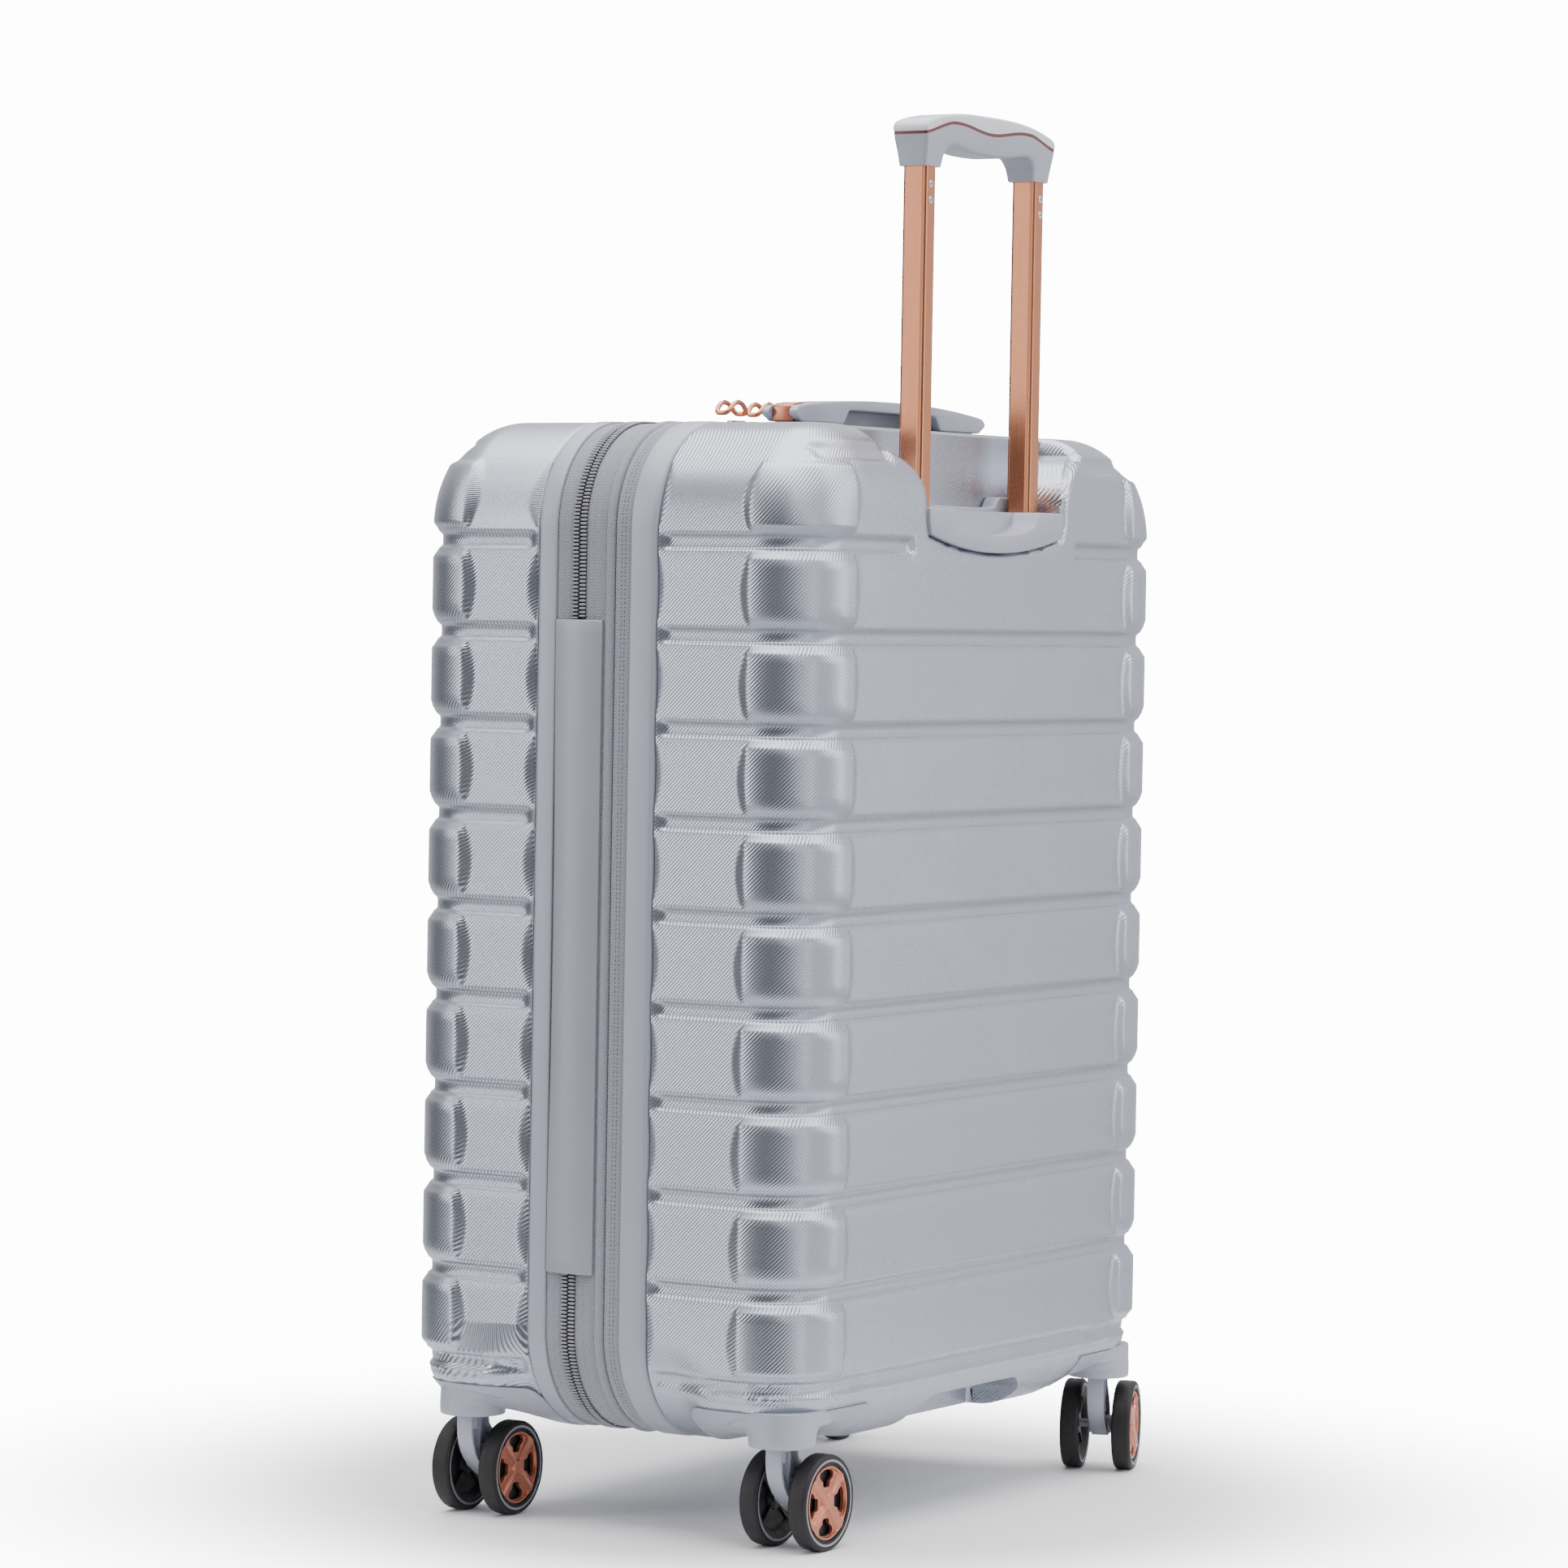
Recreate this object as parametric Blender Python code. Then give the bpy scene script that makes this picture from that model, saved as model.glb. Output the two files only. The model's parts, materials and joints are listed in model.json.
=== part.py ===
"""Hard shell spinner suitcase: two ribbed half shells, an expander, a telescopic handle and four casters.

Frame: metres, +Z up, origin on the floor under the middle of the case. The lid is on -Y, the trolley
handle on +Y, and the lid's hinge on +X.
"""
import bpy
import bmesh
import math
from mathutils import Vector

# Case body
HALF_W = 0.250                  # half width over the rims
Z_BOTTOM = 0.064
Z_TOP = 0.755
R_CORNER = 0.075                # corner radius of the case seen from the front
R_EDGE = 0.047                  # radius from the side walls into the front and back faces
Y_FACE = 0.161                  # distance of both faces from the middle
WALL = 0.0026                   # shell thickness
CORNER_X = HALF_W - R_CORNER
CORNER_Z = (Z_BOTTOM + R_CORNER, Z_TOP - R_CORNER)
EDGE_Y = Y_FACE - R_EDGE
GAP = 0.0003                    # air between touching pieces

# Horizontal grooves pressed into both shells
GROOVE_TOP_Z = 0.7347
GROOVE_PITCH = 0.0625
GROOVE_COUNT = 11
GROOVE_DEPTH = 0.0035
GROOVE_HALF = 0.0058
GROOVE_FADE = 0.008             # the grooves run out over this length before the rim

# Strips around the case, as distances along Y
BACK_SHELL_Y = 0.0408
BACK_RIM_Y = (0.0200, 0.0405)
REAR_TAPE_Y = (0.0075, 0.0197)
PIPING_Y = (-0.0011, 0.0065)
ZIP_Y = -0.0217                 # line where the main zip parts
COIL_HALF = 0.0065
ZIP_PART = 0.0005
FRONT_RIM_Y = (-0.0546, -0.0398)
FRONT_TAPE_START = -0.0395
FRONT_SHELL_Y = -0.0549
RIM_THICK = 0.006
TAPE_INSET = (0.0012, 0.0032)
GUSSET_INSET = (0.0065, 0.0085)
GUSSET_Y = (-0.033, 0.0195)

# Hinge cover on the right side
COVER_X = (0.2490, 0.2525)
COVER_Y = (-0.0392, -0.0021)
COVER_Z = (0.177, 0.619)

# Trolley handle
TUBE_X = 0.076
TUBE_Y = 0.137
TUBE_HALF = (0.0085, 0.0095)
TUBE_HOLLOW = (0.0065, 0.0075)
TUBE_Z = (0.360, 0.948)
SLEEVE_HALF = (0.0115, 0.0125)
SLEEVE_Z = (0.122, 0.655)
GRIP_Y = (0.123, 0.151)
GRIP_HALF = 0.091
LEG_Z = 0.932
PARTING_Z = 0.9615
BUTTON_HALF = (0.0245, 0.0055)

# Trolley recess in the back shell
RECESS_BACK_Y = 0.112
RECESS_HALF = 0.0945
RECESS_LOW_Z = (0.669, 0.6805)  # at the middle and at the ends of its curved lower edge
TRAY_Z = 0.699
SCOOP_HALF = 0.060              # the finger scoop in the tray's front lip
SCOOP_DEEP = 0.018

# Grip pocket under the back shell
POCKET_Y = 0.128
POCKET_HALF = 0.075
POCKET_TOP = 0.0895

# Carry handles
TOP_HANDLE_Y = 0.061
SIDE_HANDLE_Y = 0.078
SIDE_HANDLE_Z = 0.420
HANDLE_TIP = 0.131
HANDLE_WIDE = 0.014
HANDLE_CROWN = 0.7744
HANDLE_FOOT = 0.7568
HANDLE_UNDER = 0.7668           # top of the finger gap
HANDLE_PLATE = 0.0012           # thickness of the side handle's base plate
PLATE_LONG = 0.1290
PLATE_WIDE = 0.0130
STRAP_HALF = 0.008

# Casters
STEM_X = 0.2209
STEM_Y = (-0.1175, 0.1327)
CUP_Z = 0.0680
CUP_R = 0.0225
STEM_R = 0.0040
STEM_TOP = 0.0745
WHEEL_R = 0.0325
RIM_R = 0.0262
TYRE_WIDE = 0.014
WHEEL_SPACING = 0.038
TRAIL = 0.020
AXLE_R = 0.003
AXLE_HALF = 0.0245
WHEEL_STEPS = 20
CASTERS = {
    "back_right": (STEM_X, STEM_Y[1], 0.0),
    "front_right": (STEM_X, STEM_Y[0], 2.0),
    "back_left": (-STEM_X, STEM_Y[1], 20.0),
    "front_left": (-STEM_X, STEM_Y[0], 8.0),
}

# Zip sliders on the top edge, and the lock
SLIDERS_X = {"right": 0.053, "left": 0.026}
SLIDER_Z = 0.7554
PIVOT_Z = 0.7616                # pivot of a pull over its slider
PIVOT_BACK = 0.006              # the pivot lies this far behind the slider's middle
PULL_LONG = 0.026
PULL_WIDE = 0.0062
PULL_ARCH = 0.0075
PULL_WIRE = 0.0012
EXPANSION_SLIDER_Z = 0.600
LOCK_X = (-0.052, 0.010)
LOCK_Y = (0.0095, 0.0385)
LOCK_Z = (0.7553, 0.7645)
DIAL_X = (-0.042, -0.036, -0.030)
DIAL_Z = 0.7608
DIAL_R = 0.0048
DIAL_HALF = 0.0019
KEY_X = (-0.0160, -0.0100)
KEY_TRAVEL = 0.0040

COLOURS = {
    "shell": ((0.51, 0.54, 0.61), 0.38, 0.55),
    "trim": ((0.50, 0.52, 0.58), 0.42, 0.0),
    "tape": ((0.36, 0.36, 0.43), 0.85, 0.0),
    "lining": ((0.30, 0.30, 0.34), 0.90, 0.0),
    "rose": ((0.78, 0.40, 0.27), 0.28, 0.95),
    "steel": ((0.55, 0.55, 0.57), 0.35, 0.9),
    "tyre": ((0.025, 0.023, 0.026), 0.70, 0.0),
}


def clear_scene():
    for thing in list(bpy.data.objects):
        bpy.data.objects.remove(thing, do_unlink=True)


def material(name, kind):
    colour, roughness, metallic = COLOURS[kind]
    made = bpy.data.materials.new(name)
    made.use_nodes = True
    shader = made.node_tree.nodes["Principled BSDF"]
    shader.inputs["Base Color"].default_value = (*colour, 1.0)
    shader.inputs["Roughness"].default_value = roughness
    shader.inputs["Metallic"].default_value = metallic
    return made


def add(name, mesh, kind, origin=(0.0, 0.0, 0.0), parent=None, smooth=False):
    """Put a bmesh in the scene, with its origin at the given point."""
    bmesh.ops.recalc_face_normals(mesh, faces=mesh.faces)
    if parent is None:
        bmesh.ops.translate(mesh, verts=mesh.verts, vec=-Vector(origin))
    data = bpy.data.meshes.new(name)
    mesh.to_mesh(data)
    mesh.free()
    if smooth:
        data.shade_smooth()
        data.set_sharp_from_angle(angle=math.radians(35))
    made = bpy.data.objects.new(name, data)
    made.location = origin
    made.parent = parent
    made.data.materials.append(material(name, kind))
    bpy.context.collection.objects.link(made)
    return made


def helper(name, mesh, parent=None):
    """A shape that only cuts or joins, and is no piece of the case."""
    made = add(name, mesh, "steel", parent=parent)
    made.hide_render = True
    made.display_type = "WIRE"
    return made


def combine(piece, tool, operation="DIFFERENCE"):
    step = piece.modifiers.new(tool.name, "BOOLEAN")
    step.operation = operation
    step.solver = "EXACT"
    step.object = tool


def box(low, high):
    mesh = bmesh.new()
    bmesh.ops.create_cube(mesh, size=1.0)
    middle = (Vector(low) + Vector(high)) / 2
    for vert in mesh.verts:
        for axis in range(3):
            vert.co[axis] = middle[axis] + vert.co[axis] * (high[axis] - low[axis])
    return mesh


def place(axis, a, b, along):
    """A point from two coordinates across an axis and one along it."""
    return {"x": (along, a, b), "y": (a, along, b), "z": (a, b, along)}[axis]


def prism(points, axis, low, high):
    """A closed outline extruded along an axis; points are (x, z), (x, y) or (y, z)."""
    mesh = bmesh.new()
    rings = [[mesh.verts.new(place(axis, a, b, end)) for a, b in points] for end in (low, high)]
    mesh.faces.new(rings[0])
    mesh.faces.new(rings[1])
    join_rings(mesh, rings[0], rings[1])
    return mesh


def join_rings(mesh, first, second, closed=True):
    count = len(first)
    for i in range(count if closed else count - 1):
        j = (i + 1) % count
        mesh.faces.new((first[i], first[j], second[j], second[i]))


def circle(centre, radius, steps):
    turn = 2 * math.pi / steps
    return [(centre[0] + radius * math.cos(turn * i), centre[1] + radius * math.sin(turn * i))
            for i in range(steps)]


def turned(profile, steps, axis="y"):
    """A closed profile of (radius, along) points turned about an axis through the origin."""
    mesh = bmesh.new()
    rings = []
    for i in range(steps):
        angle = 2 * math.pi * (i + 0.5) / steps - math.pi / 2
        c, s = math.cos(angle), math.sin(angle)
        rings.append([mesh.verts.new(place(axis, r * c, r * s, along)) for r, along in profile])
    for i in range(steps):
        join_rings(mesh, rings[i], rings[(i + 1) % steps])
    return mesh


def hull(points):
    mesh = bmesh.new()
    for point in points:
        mesh.verts.new(point)
    made = bmesh.ops.convex_hull(mesh, input=mesh.verts)
    inside = set(made["geom_interior"]) | set(made["geom_unused"])
    loose = [item for item in inside if isinstance(item, bmesh.types.BMVert)]
    bmesh.ops.delete(mesh, geom=loose, context="VERTS")
    return mesh


# ---------------------------------------------------------------- shells

def arc_end(rise, inset):
    """Angle at which the edge arc stops, on a level this far above the corner's centre."""
    left = (R_CORNER - inset) - rise
    radius = R_EDGE - inset
    if left >= radius:
        return math.pi / 2
    return math.acos(1 - left / radius)


def half_width(rise, inset, angle):
    reach = (R_CORNER - inset) - (R_EDGE - inset) * (1 - math.cos(angle))
    return CORNER_X + math.sqrt(max(reach * reach - rise * rise, 0.0))


def level_points(z, inset, groove, rim, start, arc_steps=4):
    """One horizontal section of a rounded half case, from the right rim round to the left rim."""
    rise = max(z - CORNER_Z[1], CORNER_Z[0] - z, 0.0)
    deep = inset + groove
    last = arc_end(rise, deep)
    right = [(half_width(rise, inset, 0.0), start), (half_width(rise, deep, 0.0), rim + GROOVE_FADE)]
    for i in range(arc_steps + 1):
        angle = last * i / arc_steps
        right.append((half_width(rise, deep, angle), EDGE_Y + (R_EDGE - deep) * math.sin(angle)))
    return right + [(-x, y) for x, y in reversed(right)]


def levels(inset):
    """Heights of the sections and how far each is pressed in: three for every groove."""
    end = inset + 0.0007
    found = [(Z_BOTTOM + end, 0.0), (Z_BOTTOM + end + 0.004, 0.0), (Z_BOTTOM + end + 0.012, 0.0),
             (Z_BOTTOM + end + 0.024, 0.0)]
    for k in reversed(range(GROOVE_COUNT)):
        z = GROOVE_TOP_Z - GROOVE_PITCH * k
        found += [(z - GROOVE_HALF, 0.0), (z, GROOVE_DEPTH), (z + GROOVE_HALF, 0.0)]
    found += [(0.708, 0.0), (Z_TOP - end - 0.005, 0.0), (Z_TOP - end, 0.0)]
    return sorted(found)


def section_rows(mesh, side, inset, overrun=0.0):
    rim = BACK_SHELL_Y if side > 0 else -FRONT_SHELL_Y
    rows = []
    for z, groove in levels(max(inset, 0.0)):
        points = level_points(z, inset, groove, rim, rim - overrun)
        rows.append([mesh.verts.new((x, side * y, z)) for x, y in points])
    return rows


def half_case(side, inset=0.0, overrun=0.0):
    """A solid half case, filled up to the plane of its rim; side is 1 at the back and -1 at the front."""
    mesh = bmesh.new()
    rows = section_rows(mesh, side, inset, overrun)
    for low, high in zip(rows, rows[1:]):
        join_rings(mesh, low, high)
    mesh.faces.new(rows[0])
    mesh.faces.new(rows[-1])
    bmesh.ops.triangulate(mesh, faces=mesh.faces)
    return mesh


def hollow_half_case(side):
    """One half shell: an outer and an inner skin joined along the rim."""
    mesh = bmesh.new()
    outer = section_rows(mesh, side, 0.0)
    inner = section_rows(mesh, side, WALL)
    for rows in (outer, inner):
        for low, high in zip(rows, rows[1:]):
            join_rings(mesh, low, high, closed=False)
        mesh.faces.new(rows[0])
        mesh.faces.new(rows[-1])
    for end in (0, -1):
        for i in range(len(outer) - 1):
            mesh.faces.new((outer[i][end], outer[i + 1][end], inner[i + 1][end], inner[i][end]))
        mesh.faces.new((outer[end][0], outer[end][-1], inner[end][-1], inner[end][0]))
    bmesh.ops.triangulate(mesh, faces=mesh.faces)
    return mesh


def recess_outline(grow):
    """The trolley recess seen from behind: a curved floor, upright sides and a flare to the top edge."""
    low, corner = RECESS_LOW_Z
    right = []
    for i in range(4):
        x = (RECESS_HALF - 0.003) * i / 3
        right.append((x, low - grow + (corner - low) * (i / 3) ** 2))
    right.append((RECESS_HALF + grow, 0.690))
    right.append((RECESS_HALF + grow, 0.700))
    flare = 0.045
    for i in range(1, 5):
        angle = math.radians(17 * i)
        x = RECESS_HALF + flare * (1 - math.cos(angle)) * 1.6 + grow
        right.append((x, 0.700 + flare * math.sin(angle) - grow * 0.5))
    right.append((right[-1][0] + 0.006, Z_TOP + 0.03))
    left = [(-x, z) for x, z in reversed(right) if x > 0]
    return right + left


def grip_pocket_outline(grow):
    """The finger pocket under the back shell, used to lift the case from below."""
    half = POCKET_HALF + grow
    top = POCKET_TOP + grow
    slope_x, slope_z = 0.018, 0.0105
    return [(-half, 0.05), (half, 0.05), (half, top - slope_z), (half - slope_x, top),
            (slope_x - half, top), (-half, top - slope_z)]


def sunk_wall(name, outline, low_y):
    """The block of shell material behind a recess, before the recess is cut out of it."""
    block = helper(name, prism(outline, "y", low_y, 0.2))
    inside = helper(name + "_limit", half_case(1, WALL / 2))
    combine(block, inside, "INTERSECT")
    return block


def make_shells():
    back = add("back_shell", hollow_half_case(1), "shell")
    front = add("front_shell", hollow_half_case(-1), "shell")
    combine(back, sunk_wall("recess_wall", recess_outline(WALL), RECESS_BACK_Y - WALL), "UNION")
    combine(back, sunk_wall("pocket_wall", grip_pocket_outline(WALL), POCKET_Y - WALL), "UNION")
    combine(back, helper("recess_cut", prism(recess_outline(0.0), "y", RECESS_BACK_Y, 0.2)))
    combine(back, helper("pocket_cut", prism(grip_pocket_outline(0.0), "y", POCKET_Y, 0.2)))
    for side in (-1, 1):
        x, half = side * TUBE_X, (SLEEVE_HALF[0] - 0.001, SLEEVE_HALF[1] - 0.001)
        hole = box((x - half[0], TUBE_Y - half[1], 0.64), (x + half[0], TUBE_Y + half[1], 0.70))
        combine(back, helper(f"tube_hole_{side}", hole))
        for shell, y in ((front, STEM_Y[0]), (back, STEM_Y[1])):
            bore = prism(circle((side * STEM_X, y), STEM_R + 0.0025, 12), "z", 0.06, 0.12)
            combine(shell, helper(f"stem_hole_{shell.name}_{side}", bore))


# ---------------------------------------------------------------- strips round the case

def stations(steps=5, gap_z=None):
    """Corner centres and directions round the case; an open run starts and ends on the right side."""
    run = []
    for side, top, start in ((1, 0, 0), (-1, 0, -90), (-1, 1, -180), (1, 1, -270)):
        for i in range(steps + 1):
            run.append((side * CORNER_X, CORNER_Z[top], math.radians(start - 90 * i / steps)))
    if gap_z:
        run = [(CORNER_X, gap_z[0], 0.0)] + run + [(CORNER_X, gap_z[1], 0.0)]
    return run


def strip(section, run, closed=True):
    """A section of (inset, y) points carried round the case outline."""
    mesh = bmesh.new()
    rings = []
    for x, z, angle in run:
        ring = []
        for inset, y in section:
            reach = R_CORNER - inset
            ring.append(mesh.verts.new((x + reach * math.cos(angle), y, z + reach * math.sin(angle))))
        rings.append(ring)
    for first, second in zip(rings, rings[1:]):
        join_rings(mesh, first, second)
    if closed:
        join_rings(mesh, rings[-1], rings[0])
    else:
        mesh.faces.new(rings[0])
        mesh.faces.new(rings[-1])
    return mesh


def band(inset, y):
    """A rectangular section between two insets and two places along Y."""
    return [(inset[0], y[0]), (inset[0], y[1]), (inset[1], y[1]), (inset[1], y[0])]


def make_strips():
    around = stations()
    add("back_rim", strip(band((0.0, RIM_THICK), BACK_RIM_Y), around), "trim")
    add("rear_tape", strip(band(TAPE_INSET, REAR_TAPE_Y), around), "tape")
    add("expansion_gusset", strip(band(GUSSET_INSET, GUSSET_Y), around), "tape")
    add("front_rim", strip(band((0.0, RIM_THICK), FRONT_RIM_Y), around), "trim")
    rear_half = ZIP_Y + ZIP_PART
    middle = [(0.0, rear_half), (0.0, ZIP_Y + COIL_HALF), (TAPE_INSET[0], ZIP_Y + COIL_HALF),
              (TAPE_INSET[0], PIPING_Y[0]), (-0.0003, PIPING_Y[0] + 0.002), (-0.0003, PIPING_Y[1] - 0.002),
              (0.0015, PIPING_Y[1]), (0.0045, PIPING_Y[1]), (0.0045, rear_half)]
    add("middle_tape", strip(middle, around), "tape")
    front_half = ZIP_Y - ZIP_PART
    front = [(TAPE_INSET[0], FRONT_TAPE_START), (TAPE_INSET[0], ZIP_Y - COIL_HALF), (0.0, ZIP_Y - COIL_HALF),
             (0.0, front_half), (TAPE_INSET[1], front_half), (TAPE_INSET[1], FRONT_TAPE_START)]
    run = stations(gap_z=(COVER_Z[0] - GAP, COVER_Z[1] + GAP))
    add("front_tape", strip(front, run, closed=False), "tape")
    make_hinge_cover()


def make_hinge_cover():
    """A slightly crowned strip over the hinge line, notched where it lies on the middle tape."""
    low, high = COVER_X
    crown = [(high - 0.0012, COVER_Y[0]), (high, COVER_Y[0] + 0.004), (high, COVER_Y[1] - 0.004),
             (high - 0.0012, COVER_Y[1])]
    foot = [(HALF_W + 2 * GAP, COVER_Y[1]), (HALF_W + 2 * GAP, ZIP_Y), (low, ZIP_Y), (low, COVER_Y[0])]
    add("hinge_cover", prism(crown + foot, "z", COVER_Z[0], COVER_Z[1]), "trim")


# ---------------------------------------------------------------- linings

def panel(inset, y, depth):
    points = []
    for x, z, angle in stations(steps=3):
        reach = R_CORNER - inset
        points.append((x + reach * math.cos(angle), z + reach * math.sin(angle)))
    return prism(points, "y", y, y + depth)


def make_linings():
    thick = 0.0015
    add("back_lining", panel(0.012, 0.1000, thick), "lining")
    add("front_lining", panel(0.042, -0.1520, thick), "lining")


# ---------------------------------------------------------------- trolley

def tube_outline(side, half, grow=0.0):
    """A tube's section, with its outer front corner rounded off."""
    hx, hy = half[0] + grow, half[1] + grow
    x = side * TUBE_X
    soft = 0.007
    corner = [(x + side * (hx - soft + soft * math.sin(math.radians(a))),
               TUBE_Y - hy + soft - soft * math.cos(math.radians(a))) for a in (0, 30, 60, 90)]
    rest = [(x + side * hx, TUBE_Y + hy), (x - side * hx, TUBE_Y + hy), (x - side * hx, TUBE_Y - hy)]
    return corner + rest


def make_trolley_housing():
    """Two guide sleeves held together by a bar at each end."""
    hx, hy = SLEEVE_HALF
    housing = add("trolley_housing", box((-TUBE_X - hx, TUBE_Y - hy, SLEEVE_Z[0]),
                                         (-TUBE_X + hx, TUBE_Y + hy, SLEEVE_Z[1])), "steel")
    other = helper("other_sleeve", box((TUBE_X - hx, TUBE_Y - hy, SLEEVE_Z[0]),
                                       (TUBE_X + hx, TUBE_Y + hy, SLEEVE_Z[1])))
    combine(housing, other, "UNION")
    for name, z in (("low", SLEEVE_Z[0] + 0.002), ("high", SLEEVE_Z[1] - 0.032)):
        bar = box((-TUBE_X, TUBE_Y - 0.010, z), (TUBE_X, TUBE_Y - 0.004, z + 0.030))
        combine(housing, helper("housing_bar_" + name, bar), "UNION")
    for side in (-1, 1):
        hollow = prism(tube_outline(side, TUBE_HALF, GAP), "z", SLEEVE_Z[0] - 0.01, SLEEVE_Z[1] + 0.01)
        combine(housing, helper(f"sleeve_hollow_{side}", hollow))


def make_trolley_bezel():
    """The moulded tray in the bottom of the recess, with tube holes and a finger scoop."""
    edge = [(x, z) for x, z in recess_outline(-0.0004) if z < 0.6995]
    right = [p for p in edge if p[0] >= 0]
    left = [p for p in edge if p[0] < 0]
    outline = right + [(RECESS_HALF - 0.0005, TRAY_Z), (0.0005 - RECESS_HALF, TRAY_Z)] + left
    bezel = add("trolley_bezel", prism(outline, "y", RECESS_BACK_Y + 0.0004, Y_FACE), "trim")
    radius = (SCOOP_HALF ** 2 + SCOOP_DEEP ** 2) / (2 * SCOOP_DEEP)
    reach = [(x, z) for x, z in circle((0.0, TRAY_Z - SCOOP_DEEP + radius), radius, 72) if z < TRAY_Z + 0.004]
    combine(bezel, helper("finger_scoop", prism(reach, "y", 0.120, 0.2)))
    hollow = box((-0.060, 0.118, 0.640), (0.060, 0.154, 0.678))
    combine(bezel, helper("bezel_hollow", hollow))
    for side in (-1, 1):
        hole = prism(tube_outline(side, TUBE_HALF, 0.0006), "z", 0.64, 0.72)
        combine(bezel, helper(f"bezel_tube_hole_{side}", hole))


def grip_outline():
    """The grip seen from behind: two flared legs under a gently arched bar."""
    right = [(0.0, 0.9440), (0.030, 0.9425), (0.052, 0.9420), (0.0640, 0.9440), (0.0665, 0.9400),
             (0.0660, LEG_Z), (0.0862, LEG_Z), (0.0885, 0.9400), (GRIP_HALF, 0.9500), (GRIP_HALF - 0.0005, 0.9550)]
    return right, [(-x, z) for x, z in reversed(right[1:])]


def make_grip():
    right, left = grip_outline()
    top = [(0.080, PARTING_Z - 0.0015), (0.050, PARTING_Z), (-0.050, PARTING_Z), (-0.080, PARTING_Z - 0.0015)]
    grip = add("trolley_grip", prism(right + top + left, "y", GRIP_Y[0], GRIP_Y[1]), "trim")
    cover = [(0.0895, 0.9568), (0.080, PARTING_Z - 0.0010), (0.050, PARTING_Z + 0.0004),
             (-0.050, PARTING_Z + 0.0004), (-0.080, PARTING_Z - 0.0010), (-0.0895, 0.9568)]
    arch = [(-0.080, 0.9630), (-0.055, 0.9685), (-0.020, 0.9715), (0.020, 0.9715), (0.055, 0.9685), (0.080, 0.9630)]
    lid = add("trolley_grip_cover", prism(cover + arch, "y", GRIP_Y[0], GRIP_Y[1]), "trim")
    hx, hy = BUTTON_HALF
    slot = box((-hx - GAP, TUBE_Y - hy - GAP, 0.955), (hx + GAP, TUBE_Y + hy + GAP, 0.98))
    combine(lid, helper("button_slot", slot))
    add("release_button", box((-hx, TUBE_Y - hy, 0.9579), (hx, TUBE_Y + hy, 0.9718)), "rose",
        origin=(0.0, TUBE_Y, 0.9718))
    room = helper("linkage_room", box((-0.0795, TUBE_Y - 0.0065, 0.9480), (0.0795, TUBE_Y + 0.0065, 0.97)))
    combine(grip, room)
    for side in (-1, 1):
        socket = prism(tube_outline(side, TUBE_HALF, GAP), "z", 0.92, TUBE_Z[1] + GAP)
        combine(grip, helper(f"leg_socket_{side}", socket))


def make_release_linkage():
    """The bar under the button, with a rod down each tube to its locking pin."""
    bar = box((-0.0785, TUBE_Y - 0.003, 0.9520), (0.0785, TUBE_Y + 0.003, 0.9575))
    link = add("release_linkage", bar, "steel")
    for side in (-1, 1):
        x = side * TUBE_X
        rod = box((x - 0.0025, TUBE_Y - 0.0025, 0.520), (x + 0.0025, TUBE_Y + 0.0025, 0.954))
        combine(link, helper(f"rod_{side}", rod), "UNION")


def make_tubes():
    for side, name in ((1, "trolley_tube_right"), (-1, "trolley_tube_left")):
        tube = add(name, prism(tube_outline(side, TUBE_HALF), "z", TUBE_Z[0], TUBE_Z[1]), "rose")
        hx, hy = TUBE_HOLLOW
        x = side * TUBE_X
        hollow = box((x - hx + 0.001, TUBE_Y - hy + 0.001, 0.3), (x + hx - 0.001, TUBE_Y + hy - 0.001, 1.0))
        combine(tube, helper(name + "_hollow", hollow))


# ---------------------------------------------------------------- carry handles

def handle_top(x, crown):
    return crown - 0.64 * x * x


def handle_outline(crown, foot, under):
    """A carry handle from the side: chamfered lugs at both ends of a thin arched bar."""
    right = [(0.0, under), (0.058, under), (0.068, foot), (0.119, foot), (HANDLE_TIP, foot + 0.0036)]
    right += [(x, handle_top(x, crown)) for x in (0.118, 0.095, 0.065, 0.033, 0.0)]
    return right + [(-x, z) for x, z in reversed(right[1:-1])]


def strap_outline(side, crown, foot):
    """An end strap: a post between the lugs that turns in along the top of the handle."""
    points = [(0.1265, foot), (0.1265, crown - 0.0095), (0.1235, crown - 0.0082), (0.1115, crown - 0.0074),
              (0.075, crown - 0.0034), (0.075, crown - 0.0046), (0.1112, crown - 0.0088), (0.1125, foot)]
    return [(side * x, z) for x, z in points]


def strap_room(side, crown):
    points = [(0.14, 0.70), (0.14, 0.80), (0.0745, 0.80), (0.0745, crown - 0.0050), (0.1109, crown - 0.0092),
              (0.1121, 0.70)]
    return [(side * x, z) for x, z in points]


def make_top_handle():
    y = TOP_HANDLE_Y
    top = HANDLE_FOOT - 2 * GAP
    plate = box((-PLATE_LONG, y - PLATE_WIDE, Z_TOP - GAP), (PLATE_LONG, y + PLATE_WIDE, top))
    add("top_handle_base", plate, "trim")
    side_view = handle_outline(HANDLE_CROWN, HANDLE_FOOT, HANDLE_UNDER)
    grip = add("top_handle_grip", prism(side_view, "y", y - HANDLE_WIDE, y + HANDLE_WIDE), "trim")
    for side, name in ((1, "right"), (-1, "left")):
        room = prism(strap_room(side, HANDLE_CROWN), "y", y - STRAP_HALF - GAP, y + STRAP_HALF + GAP)
        combine(grip, helper(f"strap_room_{name}", room))
        strap = prism(strap_outline(side, HANDLE_CROWN, HANDLE_FOOT), "y", y - STRAP_HALF, y + STRAP_HALF)
        add(f"top_handle_strap_{name}", strap, "rose")


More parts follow.
